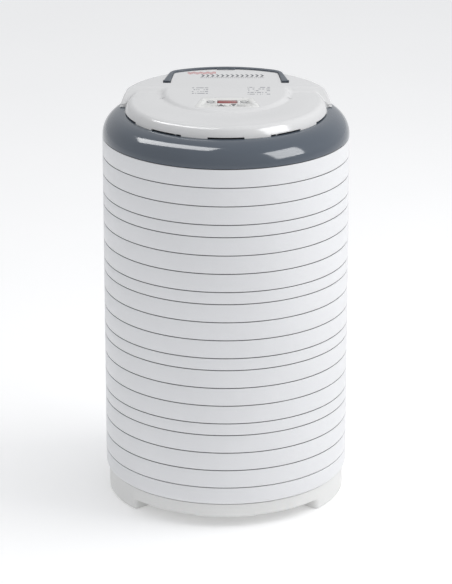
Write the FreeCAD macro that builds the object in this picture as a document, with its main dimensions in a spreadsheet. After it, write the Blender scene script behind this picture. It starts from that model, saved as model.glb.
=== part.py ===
import FreeCAD
import Part
import Sketcher
import math
import os

# A round stacking-tray dryer: a footed base, twenty stacking trays and a power head with the
# fan, heater and controls. The origin is on the floor under the centre of the base; +Z is up
# and the control panel faces -Y. All lengths are in millimetres.

SIZES = {
    "tower_radius": 197,
    "wall": 2.5,
    "tray_pitch": 30,
    "shallow_pitch": 20,
    "seam": 1.2,
    "edge_round": 0.8,
    "skirt_depth": 4,
    "skirt_inner": 191.6,
    "skirt_outer": 193.9,
    "basket_radius": 178.5,
    "basket_wall": 2,
    "basket_drop": 6,
    "floor_thickness": 2.5,
    "hole_radius": 32,
    "collar_height": 5,
    "tray_foot_inset": 5,
    "tray_foot_round": 9,
    "base_radius": 192,
    "base_top": 40,
    "base_floor": 21,
    "arch_height": 19,
    "arch_round": 9,
    "foot_depth": 42,
    "foot_half_angle": 40,
    "pad_height": 2.6,
    "pad_proud": 0.8,
    "pad_radius": 6,
    "ring_height": 37,
    "ring_round": 36,
    "ring_flange": 11,
    "flange_thickness": 2.6,
    "dome_wall": 2.6,
    "nose_radius": 12,
    "crown_height": 14.5,
    "rear_foot_radius": 171,
    "rear_rim_radius": 167.5,
    "rear_height": 23,
    "rear_rim_round": 4,
    "chord_foot_y": 19,
    "chord_top_y": 57,
    "panel_centre_y": 41,
    "panel_radius": 96,
    "panel_spread": 26,
    "panel_drop": 6,
    "slot_height": 2.6,
    "handle_leg_x": 95.1,
    "handle_root_x": 95.8,
    "handle_root_y": 87,
    "handle_lean": 8,
    "handle_pin_y": 92,
    "handle_pin_z": 657,
    "handle_width": 11.4,
    "handle_bar_width": 7.2,
    "handle_thickness": 6,
    "handle_sink": 4,
    "handle_arc": 171,
    "handle_corner_round": 22,
    "pin_radius": 2,
    "running_gap": 0.05,
    "part_gap": 0.35,
    "fan_radius": 72,
    "shaft_radius": 3,
    "motor_radius": 36,
    "heater_radius": 96,
    "coil_radius": 4,
}

TRAY_COUNT = 20
SHALLOW_EVERY = 4
FLOOR_SPOKES = 24
FLOOR_RINGS = 4
INTAKE_SLOTS = 10
FAN_BLADES = 24
SCREW_COUNT = 6


class Dim:
    """A length with its value and the spreadsheet expression that gives it."""

    def __init__(self, value, text):
        self.value = value
        self.text = text

    def __add__(self, other):
        other = dim(other)
        return Dim(self.value + other.value, f"({self.text} + {other.text})")

    def __sub__(self, other):
        other = dim(other)
        return Dim(self.value - other.value, f"({self.text} - {other.text})")

    def __mul__(self, other):
        other = dim(other)
        return Dim(self.value * other.value, f"({self.text} * {other.text})")

    def __truediv__(self, other):
        other = dim(other)
        return Dim(self.value / other.value, f"({self.text} / {other.text})")

    def __neg__(self):
        return Dim(-self.value, f"(0 - {self.text})")

    def __radd__(self, other):
        return dim(other) + self

    def __rsub__(self, other):
        return dim(other) - self

    def __rmul__(self, other):
        return dim(other) * self


def dim(value):
    if isinstance(value, Dim):
        return value
    return Dim(float(value), f"({float(value)!r})")


doc = FreeCAD.newDocument("Dryer")
sheet = doc.addObject("Spreadsheet::Sheet", "Sizes")
for row, (alias, number) in enumerate(SIZES.items(), 1):
    sheet.set(f"A{row}", alias)
    sheet.set(f"B{row}", str(number))
    sheet.setAlias(f"B{row}", alias)
doc.recompute()


class Sizes:
    """The driving dimensions, each as a Dim bound to its cell."""

    def __getattr__(self, alias):
        return Dim(float(SIZES[alias]), f"Sizes.{alias}")


size = Sizes()
subparts = []


def keep(item, label):
    """Name an object as a sub-part to be written out."""
    item.Label = label
    subparts.append(item)
    return item


def bind(item, prop, value):
    """Tie a property to the spreadsheet, or set it when it is a plain number."""
    value = dim(value)
    if "Sizes." in value.text:
        item.setExpression(prop, value.text)
    else:
        item.setExpression(prop, repr(value.value))


def place(item, x=0, y=0, z=0, turn=None):
    """Put an object at a point, with an optional rotation."""
    if turn is not None:
        item.Placement = FreeCAD.Placement(FreeCAD.Vector(0, 0, 0), turn)
    bind(item, "Placement.Base.x", x)
    bind(item, "Placement.Base.y", y)
    bind(item, "Placement.Base.z", z)
    return item


def turn_about(axis, degrees):
    return FreeCAD.Rotation(FreeCAD.Vector(*axis), degrees)


ALONG_X = turn_about((0, 1, 0), 90)
ALONG_Y = turn_about((1, 0, 0), -90)


def unit(degrees):
    """Cosine and sine of a bearing counted from +X."""
    angle = math.radians(degrees)
    return math.cos(angle), math.sin(angle)


# --- sketches -------------------------------------------------------------------------------


def point_of(vertex):
    return FreeCAD.Vector(dim(vertex[0]).value, dim(vertex[1]).value, 0)


def arc_between(start, end, centre):
    """The shorter arc about a centre, and the end numbers of its start and end vertices."""
    first = math.atan2(start.y - centre.y, start.x - centre.x)
    last = math.atan2(end.y - centre.y, end.x - centre.x)
    radius = (start - centre).Length
    circle = Part.Circle(centre, FreeCAD.Vector(0, 0, 1), radius)
    if (last - first) % (2 * math.pi) < math.pi:
        return Part.ArcOfCircle(circle, first, last), 1, 2
    return Part.ArcOfCircle(circle, last, first), 2, 1


def fix_coordinate(sketch, axis, geometry, position, value):
    """Dimension one coordinate of a point from the sketch origin and bind it."""
    value = dim(value)
    kind = "DistanceX" if axis == 0 else "DistanceY"
    index = sketch.addConstraint(Sketcher.Constraint(kind, -1, 1, geometry, position, value.value))
    if "Sizes." in value.text:
        sketch.setExpression(f"Constraints[{index}]", value.text)


def add_loop(sketch, loop):
    """Draw a closed outline; a vertex with a third item is reached by an arc about it."""
    if len(loop) == 1:
        add_circle(sketch, *loop[0])
        return
    edges = []
    for number, start in enumerate(loop):
        end = loop[(number + 1) % len(loop)]
        if len(end) == 3:
            centre = point_of(end[2])
            curve, from_end, to_end = arc_between(point_of(start), point_of(end), centre)
            index = sketch.addGeometry(curve, False)
            fix_coordinate(sketch, 0, index, 3, end[2][0])
            fix_coordinate(sketch, 1, index, 3, end[2][1])
        else:
            index = sketch.addGeometry(Part.LineSegment(point_of(start), point_of(end)), False)
            from_end, to_end = 1, 2
        edges.append((index, from_end, to_end))
    for number, vertex in enumerate(loop):
        before = edges[number - 1]
        after = edges[number]
        sketch.addConstraint(Sketcher.Constraint("Coincident", before[0], before[2], after[0], after[1]))
        axes = (0, 1)
        if len(vertex) == 3:
            offset = point_of(vertex) - point_of(vertex[2])
            axes = (0,) if abs(offset.x) < abs(offset.y) else (1,)
        for axis in axes:
            fix_coordinate(sketch, axis, after[0], after[1], vertex[axis])


def add_circle(sketch, x, y, radius):
    circle = Part.Circle(point_of((x, y)), FreeCAD.Vector(0, 0, 1), dim(radius).value)
    index = sketch.addGeometry(circle, False)
    fix_coordinate(sketch, 0, index, 3, x)
    fix_coordinate(sketch, 1, index, 3, y)
    number = sketch.addConstraint(Sketcher.Constraint("Radius", index, dim(radius).value))
    if "Sizes." in dim(radius).text:
        sketch.setExpression(f"Constraints[{number}]", dim(radius).text)


def body_sketch(body, name, role, loops, level=0):
    """A sketch on one of a body's own origin planes, raised along the plane's normal."""
    sketch = body.newObject("Sketcher::SketchObject", name)
    plane = next(item for item in body.Origin.OriginFeatures if item.Role == role)
    sketch.AttachmentSupport = [(plane, "")]
    sketch.MapMode = "FlatFace"
    bind(sketch, "AttachmentOffset.Base.z", level)
    for loop in loops:
        add_loop(sketch, loop)
    return sketch


def new_body(name):
    return doc.addObject("PartDesign::Body", name)


def revolve(body, name, loop):
    """Turn an outline of radius and height about the vertical axis."""
    feature = body.newObject("PartDesign::Revolution", name)
    feature.Profile = body_sketch(body, name + "_outline", "XZ_Plane", [loop])
    feature.ReferenceAxis = (feature.Profile[0], ["V_Axis"])
    feature.Angle = 360
    return feature


def pad(body, name, role, loops, length, level=0, midplane=False):
    feature = body.newObject("PartDesign::Pad", name)
    feature.Profile = body_sketch(body, name + "_outline", role, loops, level)
    bind(feature, "Length", length)
    feature.Midplane = midplane
    return feature


def pocket(body, name, role, loops, length, level=0):
    """Cut an outline to half its length on each side of the sketch."""
    doc.recompute()
    before = body.Shape.Volume
    feature = body.newObject("PartDesign::Pocket", name)
    feature.Profile = body_sketch(body, name + "_outline", role, loops, level)
    bind(feature, "Length", length)
    feature.Midplane = True
    doc.recompute()
    assert body.Shape.Volume < before - 1, f"{name} cuts nothing"
    return feature


def around(body, name, feature, count):
    """Repeat a feature evenly about the vertical axis."""
    pattern = body.newObject("PartDesign::PolarPattern", name)
    pattern.Originals = [feature]
    axis = next(item for item in body.Origin.OriginFeatures if item.Role == "Z_Axis")
    pattern.Axis = (axis, [""])
    pattern.Angle = 360
    pattern.Occurrences = count
    body.Tip = pattern
    doc.recompute()
    return pattern


def rectangle(low_x, low_y, high_x, high_y):
    return [(low_x, low_y), (high_x, low_y), (high_x, high_y), (low_x, high_y)]


def sector(inner, outer, half_angle, bearing=0):
    """An outline between two radii and an equal angle to each side of a bearing."""
    low = unit(bearing - half_angle)
    high = unit(bearing + half_angle)
    origin = (0, 0)
    return [
        (outer * low[0], outer * low[1]),
        (outer * high[0], outer * high[1], origin),
        (inner * high[0], inner * high[1]),
        (inner * low[0], inner * low[1], origin),
    ]


# --- plain solids and booleans --------------------------------------------------------------


def cylinder(name, radius, height, x=0, y=0, z=0, turn=None):
    item = doc.addObject("Part::Cylinder", name)
    bind(item, "Radius", radius)
    bind(item, "Height", height)
    return place(item, x, y, z, turn)


def box(name, length, width, height, x=0, y=0, z=0, turn=None):
    """A block centred in X and Y on its place, standing on its Z."""
    item = doc.addObject("Part::Box", name)
    bind(item, "Length", length)
    bind(item, "Width", width)
    bind(item, "Height", height)
    return place(item, x - dim(length) / 2, y - dim(width) / 2, z, turn)


def combine(kind, name, parts):
    item = doc.addObject(kind, name)
    if kind == "Part::Compound":
        item.Links = parts
        return item
    item.Refine = False
    if kind == "Part::Cut":
        item.Base, item.Tool = parts
    else:
        item.Shapes = parts
    return item


def fuse(name, *parts):
    return combine("Part::MultiFuse", name, list(parts))


def common(name, *parts):
    return combine("Part::MultiCommon", name, list(parts))


def group(name, parts):
    return combine("Part::Compound", name, list(parts))


def cut(name, base, *tools):
    """Take the tools away from a solid, one after another."""
    for number, tool in enumerate(tools[:-1]):
        base = combine("Part::Cut", f"{name}_step_{number}", (base, tool))
    return combine("Part::Cut", name, (base, tools[-1]))


def free_sketch(name, loop, upright=True):
    """A sketch in the vertical plane through the axis that faces -Y or +X."""
    sketch = doc.addObject("Sketcher::SketchObject", name)
    if upright:
        sketch.Placement = FreeCAD.Placement(FreeCAD.Vector(), turn_about((1, 0, 0), 90))
    else:
        sketch.Placement = FreeCAD.Placement(FreeCAD.Vector(), FreeCAD.Rotation(
            FreeCAD.Vector(0, 1, 0), FreeCAD.Vector(0, 0, 1), FreeCAD.Vector(1, 0, 0), "XYZ"))
    add_loop(sketch, loop)
    return sketch


def turned(name, loop):
    """A solid of revolution about the vertical axis from radius and height."""
    item = doc.addObject("Part::Revolution", name)
    item.Source = free_sketch(name + "_outline", loop)
    item.Axis = FreeCAD.Vector(0, 0, 1)
    item.Base = FreeCAD.Vector(0, 0, 0)
    item.Angle = 360
    item.Solid = True
    return item


def prism_along_x(name, loop, width):
    """An outline of Y and Z stretched evenly to both sides."""
    item = doc.addObject("Part::Extrusion", name)
    item.Base = free_sketch(name + "_outline", loop, upright=False)
    item.DirMode = "Normal"
    bind(item, "LengthFwd", width)
    item.Symmetric = True
    item.Solid = True
    return item


def screw(name, x, y, seat, length, radius, up=True):
    """A pan-head screw whose head bears on the seat height and whose shank points up."""
    head = 2.2
    if up:
        shank = cylinder(name + "_shank", radius, length, x, y, seat)
        cap = cylinder(name + "_head", radius * 2, head, x, y, seat - head)
        recess = cylinder(name + "_recess", radius * 0.9, 1.2, x, y, seat - head)
    else:
        shank = cylinder(name + "_shank", radius, length, x, y, seat - length)
        cap = cylinder(name + "_head", radius * 2, head, x, y, seat)
        recess = cylinder(name + "_recess", radius * 0.9, 1.2, x, y, seat + head - 1.2)
    return cut(name, fuse(name + "_blank", shank, cap), recess)


def ring_of(count, radius, start=0.0):
    """Evenly spaced places on a circle, counted from +X."""
    places = []
    for number in range(count):
        across, up = unit(start + 360.0 * number / count)
        places.append((radius * across, radius * up))
    return places


# --- heights --------------------------------------------------------------------------------


def tray_height(number):
    """Pitch of a tray counted from the top; the last of each upper set of four is shallow."""
    shallow = number % SHALLOW_EVERY == 0 and number < TRAY_COUNT
    return size.shallow_pitch if shallow else size.tray_pitch


def tray_level(number):
    """Height of a tray's underside; tray 20 stands on the base."""
    level = size.base_top
    for lower in range(number + 1, TRAY_COUNT + 1):
        level = level + tray_height(lower)
    return level


stack_top = tray_level(0)
ring_top = stack_top + size.ring_height
platform_top = ring_top + size.rear_height


# --- trays ----------------------------------------------------------------------------------


def tray_outline(pitch, foot_inset):
    """Half section of a tray: skirt, outer wall, floor, basket wall and centre collar."""
    rim = pitch - size.seam
    outer = size.tower_radius
    inner = outer - size.wall
    basket_top = pitch - size.basket_drop
    basket_inner = size.basket_radius - size.basket_wall
    collar_outer = size.hole_radius + size.wall
    skirt_in = size.skirt_inner - foot_inset
    skirt_out = size.skirt_outer - foot_inset
    foot = [(outer - size.edge_round, 0), (outer, size.edge_round)]
    corner = [(inner, size.floor_thickness)]
    if dim(foot_inset).value > 0:
        rise = size.tray_foot_round
        sweep = (foot_inset * foot_inset + rise * rise) / (foot_inset * 2)
        foot = [(outer - foot_inset, 0), (outer, rise, (outer - sweep, rise))]
        corner = [(inner, size.floor_thickness + foot_inset), (inner - foot_inset, size.floor_thickness)]
    return [
        (size.hole_radius, 0),
        (skirt_in, 0),
        (skirt_in, -size.skirt_depth),
        (skirt_out, -size.skirt_depth),
        (skirt_out, 0),
        *foot,
        (outer, rim - size.edge_round),
        (outer - size.edge_round, rim),
        (inner, rim),
        *corner,
        (size.basket_radius, size.floor_thickness),
        (size.basket_radius, basket_top),
        (basket_inner, basket_top),
        (basket_inner, size.floor_thickness),
        (collar_outer, size.floor_thickness),
        (collar_outer, size.collar_height),
        (size.hole_radius, size.collar_height),
    ]


def lattice_windows():
    """The windows between two spokes of the tray floor, one for each ring."""
    first = SIZES["hole_radius"] + SIZES["wall"] + 3
    last = SIZES["basket_radius"] - SIZES["basket_wall"] - 2.5
    bar = 3.0
    step = (last - first + bar) / FLOOR_RINGS
    windows = []
    for ring in range(FLOOR_RINGS):
        inner = first + ring * step
        outer = inner + step - bar
        spoke = math.degrees(1.2 / ((inner + outer) / 2))
        windows.append(sector(inner, outer, 180.0 / FLOOR_SPOKES - spoke))
    return windows


def new_tray(body, pitch, foot_inset=dim(0)):
    """A tray: turned walls, then air windows cut in the channel, the basket and the floor."""
    name = body.Name
    revolve(body, name + "_walls", tray_outline(pitch, foot_inset))
    half_gap = 180.0 / FLOOR_SPOKES
    inner = SIZES["basket_radius"] + 1
    outer = SIZES["skirt_inner"] - foot_inset.value - 1
    channel = pocket(body, name + "_channel", "XY_Plane", [sector(inner, outer, half_gap - 0.45)], 20)
    around(body, name + "_channels", channel, FLOOR_SPOKES)
    grid = pocket(body, name + "_grid", "XY_Plane", lattice_windows(), 12)
    around(body, name + "_grids", grid, FLOOR_SPOKES)
    sill = size.floor_thickness + 3
    lintel = pitch - size.basket_drop - 3
    level = size.basket_radius - 1
    slit = pocket(body, name + "_slit", "YZ_Plane", [rectangle(-16, sill, 16, lintel)], 6, level)
    around(body, name + "_slits", slit, FLOOR_SPOKES)


def copy_of(body, name):
    """The same tray moulding again, in a body of its own."""
    twin = new_body(name)
    twin.BaseFeature = body
    return twin


def build_trays():
    patterns = {}
    for number in range(1, TRAY_COUNT + 1):
        name = f"tray_{number:02d}"
        pitch = tray_height(number)
        lowest = number == TRAY_COUNT
        if pitch.text in patterns and not lowest:
            body = copy_of(patterns[pitch.text], name)
        else:
            body = new_body(name)
            new_tray(body, pitch, size.tray_foot_inset if lowest else dim(0))
            patterns.setdefault(pitch.text, body)
        place(body, z=tray_level(number))
        keep(body, name)


# --- base -----------------------------------------------------------------------------------


def build_base():
    """A shallow pan on two broad side feet, with an arch at the front and the back."""
    wall_in = size.base_radius - size.wall
    rim = size.base_top - size.seam
    foot_in = size.base_radius - size.foot_depth
    body = new_body("base_pan")
    sole = size.pad_proud
    revolve(body, "pan_section", [
        (0, size.base_floor),
        (foot_in, size.base_floor),
        (foot_in, sole),
        (size.base_radius - 3, sole),
        (size.base_radius, sole + 3, (size.base_radius - 3, sole + 3)),
        (size.base_radius, rim - size.edge_round),
        (size.base_radius - size.edge_round, rim),
        (wall_in, rim),
        (wall_in, size.base_floor + size.wall + 3),
        (wall_in - 3, size.base_floor + size.wall),
        (0, size.base_floor + size.wall),
    ])
    top = size.arch_height
    gap = 90 - SIZES["foot_half_angle"]
    arches = [sector(SIZES["base_radius"] - SIZES["foot_depth"] - 10, 210, gap, bearing)
              for bearing in (-90, 90)]
    arch = pocket(body, "arches", "XY_Plane", arches, top * 2)
    edges = []
    for number, edge in enumerate(arch.Shape.Edges, 1):
        bounds = edge.BoundBox
        level = bounds.ZLength < 0.01 and abs(bounds.ZMax - top.value) < 0.01
        if level and isinstance(edge.Curve, Part.Line) and edge.Length > 20:
            edges.append(f"Edge{number}")
    assert len(edges) == 4, edges
    soft = body.newObject("PartDesign::Fillet", "arch_rounding")
    soft.Base = (arch, edges)
    bind(soft, "Radius", size.arch_round)
    rib = rectangle(45, size.base_floor - 2, foot_in + 1, size.base_floor + 0.5)
    stiffener = pad(body, "stiffener", "XZ_Plane", [rib], 2.4, midplane=True)
    around(body, "stiffeners", stiffener, 12)
    lip = sector(size.base_radius - 6, size.base_radius - 0.2, 14.2, -90)
    pad(body, "front_lip", "XY_Plane", [lip], 2, level=top - 1.8)
    seats = [[(x, y, size.pad_radius)] for x, y in pad_places()]
    pocket(body, "pad_seats", "XY_Plane", seats, size.pad_height * 2)
    keep(body, "base_pan")


def pad_places():
    """Three soft pads under each side foot."""
    reach = SIZES["base_radius"] - SIZES["foot_depth"] / 2
    places = []
    for bearing in (-25, 0, 25, 155, 180, 205):
        across, up = unit(bearing)
        places.append((reach * across, reach * up))
    return places


def build_foot_pads():
    """Soft pads set in the side feet; they carry the dryer just clear of the floor."""
    pads = []
    for number, (x, y) in enumerate(pad_places()):
        pads.append(cylinder(f"pad_{number}", size.pad_radius, size.pad_height, x, y, 0))
    keep(group("foot_pads", pads), "foot_pads")


# --- power head: layout ---------------------------------------------------------------------

SCREW_CIRCLE = 155.5
PANEL_X = 2.0
WINDOW = (31.8, 14.6, -16.4)
KEYS = {
    "mode_button": (PANEL_X - 26.7, -16.4),
    "start_button": (PANEL_X + 26.7, -16.4),
    "up_button": (PANEL_X - 9.9, -33.0),
    "down_button": (PANEL_X + 9.9, -33.0),
}
KEY_RADIUS = 6.3
BOARD_DEPTH = 9.0
BOARD_THICKNESS = 1.6
BOARD_CENTRE_Y = -22.0
OVERLAY_THICKNESS = 0.5

plate_bottom = stack_top + 3
plate_top = plate_bottom + size.wall
fan_bottom = plate_top + 2
fan_height = 16.5
bracket_bottom = fan_bottom + fan_height + 2
motor_bottom = bracket_bottom + 2
motor_height = 15.0
gland_z = ring_top + 10


def panel_height(y):
    """Height of the sloping panel surface at a depth."""
    fall = size.panel_drop / (size.chord_top_y - size.panel_centre_y + size.panel_radius)
    return platform_top - (size.chord_top_y - y) * fall


def panel_tilt():
    """Slope of the panel, in radians."""
    run = SIZES["chord_top_y"] - SIZES["panel_centre_y"] + SIZES["panel_radius"]
    return math.atan(SIZES["panel_drop"] / run)


def on_panel(item, x, y, lift):
    """Stand an object square to the panel, its base raised from the surface by a lift."""
    slope = panel_tilt()
    turn = turn_about((1, 0, 0), math.degrees(slope))
    z = panel_height(y) + lift * math.cos(slope)
    return place(item, x, y - lift * math.sin(slope), z, turn)


def panel_pin(name, radius, low, high, x, y):
    """A round piece square to the panel between two lifts."""
    return on_panel(cylinder(name, radius, high - low), x, y, low)


def panel_slab(name, loop, low, high, x, y):
    """A flat piece parallel to the panel between two lifts, drawn about its place."""
    sketch = doc.addObject("Sketcher::SketchObject", name + "_outline")
    add_loop(sketch, loop)
    on_panel(sketch, x, y, low)
    item = doc.addObject("Part::Extrusion", name)
    item.Base = sketch
    item.DirMode = "Normal"
    bind(item, "LengthFwd", high - low)
    item.Solid = True
    return item


def panel_block(name, length, width, low, high, x, y):
    loop = rectangle(-length / 2, -width / 2, length / 2, width / 2)
    return panel_slab(name, loop, low, high, x, y)


def overlay_loop(margin):
    return [
        (-40 - margin, 24 + margin),
        (-52 - margin, -23 - margin),
        (52 + margin, -23 - margin),
        (40 + margin, 24 + margin),
    ]


def board_places():
    """The four fixing points of the control board."""
    return [(PANEL_X + x, BOARD_CENTRE_Y + y) for x in (-37, 37) for y in (-19, 19)]


# --- power head: shells ---------------------------------------------------------------------


def build_head_ring():
    """The dark quarter-round rim of the head, with its nesting skirt and screw bosses."""
    outer = size.tower_radius
    round_centre = (outer - size.ring_round, ring_top - size.ring_round)
    shoulder = ring_top - size.ring_round
    inner = outer - size.wall
    flange = outer - size.ring_round
    under = ring_top - size.flange_thickness
    ring = turned("ring_section", [
        (size.skirt_inner, stack_top - size.skirt_depth),
        (size.skirt_outer, stack_top - size.skirt_depth),
        (size.skirt_outer, stack_top),
        (outer, stack_top),
        (outer, shoulder),
        (flange, ring_top, round_centre),
        (flange - size.ring_flange, ring_top),
        (flange - size.ring_flange, under),
        (flange, under),
        (inner - 0.1, shoulder, (flange, shoulder - 0.1)),
        (inner - 0.1, stack_top + size.wall),
        (size.skirt_inner, stack_top + size.wall),
    ])
    bosses = []
    for number, (x, y) in enumerate(ring_of(SCREW_COUNT, SCREW_CIRCLE, 30)):
        height = under - plate_top + 0.5
        bosses.append(cylinder(f"ring_boss_{number}", 4.5, height, x, y, plate_top))
    holes = []
    for number, (x, y) in enumerate(ring_of(SCREW_COUNT, SCREW_CIRCLE, 30)):
        holes.append(cylinder(f"ring_pilot_{number}", 2.0, 20, x, y, plate_top - 1))
    for number, (x, y) in enumerate(ring_of(SCREW_COUNT, SCREW_CIRCLE, 0)):
        holes.append(cylinder(f"ring_hole_{number}", 1.8, 8, x, y, under - 2))
    keep(cut("head_ring", fuse("ring_blank", ring, *bosses), *holes), "head_ring")


def dome_form(name, inset):
    """The dome's solid form, shrunk by an inset: bulge, raised rear and panel tongue."""
    foot = ring_top - (1 if dim(inset).value > 0 else 0)
    flange = size.tower_radius - size.ring_round - inset
    crown = ring_top + size.crown_height - inset
    nose = size.nose_radius - inset
    nose_y = crown - 1.5 - nose
    bulge = turned(name + "_bulge", [
        (0, foot),
        (flange, foot),
        (flange, nose_y),
        (flange - nose, crown - 1.5, (flange - nose, nose_y)),
        (100, crown),
        (0, crown),
    ])
    rim = size.rear_rim_radius - inset
    top = platform_top - inset
    drum = turned(name + "_drum", [
        (0, foot),
        (size.rear_foot_radius - inset, foot),
        (rim, top - size.rear_rim_round),
        (rim - size.rear_rim_round, top, (rim - size.rear_rim_round, top - size.rear_rim_round)),
        (0, top),
    ])
    slope = (size.chord_top_y - size.chord_foot_y) / size.rear_height
    chord_top = size.chord_top_y + inset * 1.3
    chord_foot = chord_top - slope * (top - foot)
    wedge = prism_along_x(name + "_wedge", [
        (chord_foot, foot),
        (200, foot),
        (200, platform_top + 5),
        (chord_top + slope * 0.01, platform_top + 5),
        (chord_top, top),
    ], 400)
    rear = common(name + "_rear", drum, wedge)
    radius = size.panel_radius - inset
    cone = doc.addObject("Part::Cone", name + "_cone")
    bind(cone, "Radius1", radius + size.panel_spread)
    bind(cone, "Radius2", radius)
    bind(cone, "Height", platform_top - foot)
    place(cone, 0, size.panel_centre_y, foot)
    back = size.chord_top_y + 12
    front = size.panel_centre_y - size.panel_radius - 30
    slab = prism_along_x(name + "_slab", [
        (front, foot),
        (back, foot),
        (back, top),
        (size.chord_top_y, top),
        (front, panel_height(front) - inset),
    ], 400)
    tongue = common(name + "_tongue", cone, slab)
    return fuse(name, bulge, rear, tongue)


def handle_outline(margin):
    """The bail from above, grown by a margin: leaning legs, corners and a long rear arc."""
    lean = unit(SIZES["handle_lean"])
    root = (SIZES["handle_root_x"], SIZES["handle_root_y"])
    bend = SIZES["handle_corner_round"]
    start = (root[0] - bend * lean[0], root[1] - bend * lean[1])
    along = start[1] * lean[0] - start[0] * lean[1]
    spare = (SIZES["handle_arc"] - bend) ** 2 - start[0] ** 2 - start[1] ** 2
    run = math.sqrt(along ** 2 + spare) - along
    corner = (start[0] - run * lean[1], start[1] + run * lean[0])
    reach = math.hypot(*corner)
    wide = SIZES["handle_width"] / 2 + margin
    slim = SIZES["handle_bar_width"] / 2 + margin
    sides = []
    for sign in (1, -1):
        foot = (root[0] + sign * wide * lean[0] + margin * lean[1],
                root[1] + sign * wide * lean[1] - margin * lean[0])
        knee = (corner[0] + (bend + sign * slim) * lean[0], corner[1] + (bend + sign * slim) * lean[1])
        crown = (SIZES["handle_arc"] + sign * slim) / reach
        sides.append((foot, knee, (corner[0] * crown, corner[1] * crown)))
    (foot_out, knee_out, crown_out), (foot_in, knee_in, crown_in) = sides
    mirror = (-corner[0], corner[1])
    origin = (0, 0)
    return [
        foot_in,
        foot_out,
        knee_out,
        (*crown_out, corner),
        (-crown_out[0], crown_out[1], origin),
        (-knee_out[0], knee_out[1], mirror),
        (-foot_out[0], foot_out[1]),
        (-foot_in[0], foot_in[1]),
        (-knee_in[0], knee_in[1]),
        (-crown_in[0], crown_in[1], mirror),
        (*crown_in, origin),
        (*knee_in, corner),
    ]


def level_slab(name, loop, low, high):
    """A flat piece between two heights."""
    sketch = doc.addObject("Sketcher::SketchObject", name + "_outline")
    add_loop(sketch, loop)
    place(sketch, 0, 0, low)
    item = doc.addObject("Part::Extrusion", name)
    item.Base = sketch
    item.DirMode = "Normal"
    bind(item, "LengthFwd", high - low)
    item.Solid = True
    return item


def intake_slots():
    """Blocks that notch the foot of the dome, one facing each intake."""
    slots = []
    for number in range(INTAKE_SLOTS):
        bearing = -90 + 360.0 * number / INTAKE_SLOTS
        turn = turn_about((0, 0, 1), bearing)
        corner = turn.multVec(FreeCAD.Vector(152, -28.7, 0))
        slot = doc.addObject("Part::Box", f"intake_slot_{number}")
        bind(slot, "Length", 14)
        bind(slot, "Width", 57.4)
        bind(slot, "Height", size.slot_height + 1)
        slots.append(place(slot, corner.x, corner.y, ring_top - 1, turn))
    return slots


def build_dome():
    """The pale cover of the head: a thin shell with the panel, hinge cups and air slots."""
    outer = dome_form("dome_outer", dim(0))
    inner = dome_form("dome_inner", size.dome_wall)
    shell = cut("dome_shell", outer, inner)
    flange = size.tower_radius - size.ring_round
    wall_outer = cylinder("intake_wall_outer", flange, platform_top - ring_top, 0, 0, ring_top)
    wall_inner = cylinder("intake_wall_inner", flange - size.dome_wall, 60, 0, 0, ring_top - 10)
    additions = [cut("intake_wall", wall_outer, wall_inner)]
    for number, (x, y) in enumerate(ring_of(SCREW_COUNT, SCREW_CIRCLE, 0)):
        additions.append(cylinder(f"dome_boss_{number}", 4.2, 40, x, y, ring_top))
    for number, (x, y) in enumerate(board_places()):
        additions.append(panel_pin(f"board_post_{number}", 3.2, -BOARD_DEPTH, 3, x, y))
    pin_y = size.handle_pin_y
    for side in (-1, 1):
        leg_x = side * size.handle_leg_x
        additions.append(box(f"hinge_cup_{side + 1}", 17.4, 21.8, 14, leg_x, pin_y - 2,
                             platform_top - 11.5))
    bed = platform_top - size.handle_sink
    additions.append(level_slab("handle_bed", handle_outline(3.3), bed - 3.2, platform_top))
    additions.append(box("grip_bed", 37, 12, 9, 0, 164.2, bed - 3.2))
    additions.append(cylinder("gland_block", 8.4, 40, 0, 150, gland_z, ALONG_Y))
    inside = common("dome_additions", fuse("dome_parts", *additions), outer)
    solid = fuse("dome_solid", shell, inside)
    cuts = intake_slots()
    for number, (x, y) in enumerate(ring_of(SCREW_COUNT, SCREW_CIRCLE, 0)):
        cuts.append(cylinder(f"dome_pilot_{number}", 1.45, 11, x, y, ring_top - 1))
    for number, (x, y) in enumerate(board_places()):
        cuts.append(panel_pin(f"board_pilot_{number}", 1.1, -BOARD_DEPTH - 1, -5, x, y))
    for side in (-1, 1):
        leg_x = side * size.handle_leg_x
        cuts.append(box(f"hinge_pocket_{side + 1}", 13.4, 17.8, 14, leg_x, pin_y - 2,
                        platform_top - 9.5))
        cuts.append(cylinder(f"hinge_hole_{side + 1}", size.pin_radius, 17.4, leg_x - 8.7,
                             pin_y, size.handle_pin_z, ALONG_X))
    cuts.append(level_slab("handle_groove", handle_outline(0.7), bed - 0.7, platform_top + 8))
    cuts.append(box("grip_groove", 31.4, 12, 14, 0, 166.8, bed - 0.7))
    cuts.append(cylinder("gland_hole", 6, 60, 0, 140, gland_z, ALONG_Y))
    length, width, window_y = WINDOW
    cuts.append(panel_block("window_hole", length, width, -6, 3, PANEL_X, window_y))
    cuts.append(panel_slab("overlay_recess", overlay_loop(0.1), -OVERLAY_THICKNESS, 3, PANEL_X, -20))
    for name, (x, y) in KEYS.items():
        cuts.append(panel_pin(name + "_hole", KEY_RADIUS + size.part_gap, -6, 3, x, y))
    keep(cut("dome_cover", solid, *cuts), "dome_cover")


# --- power head: controls -------------------------------------------------------------------


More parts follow.
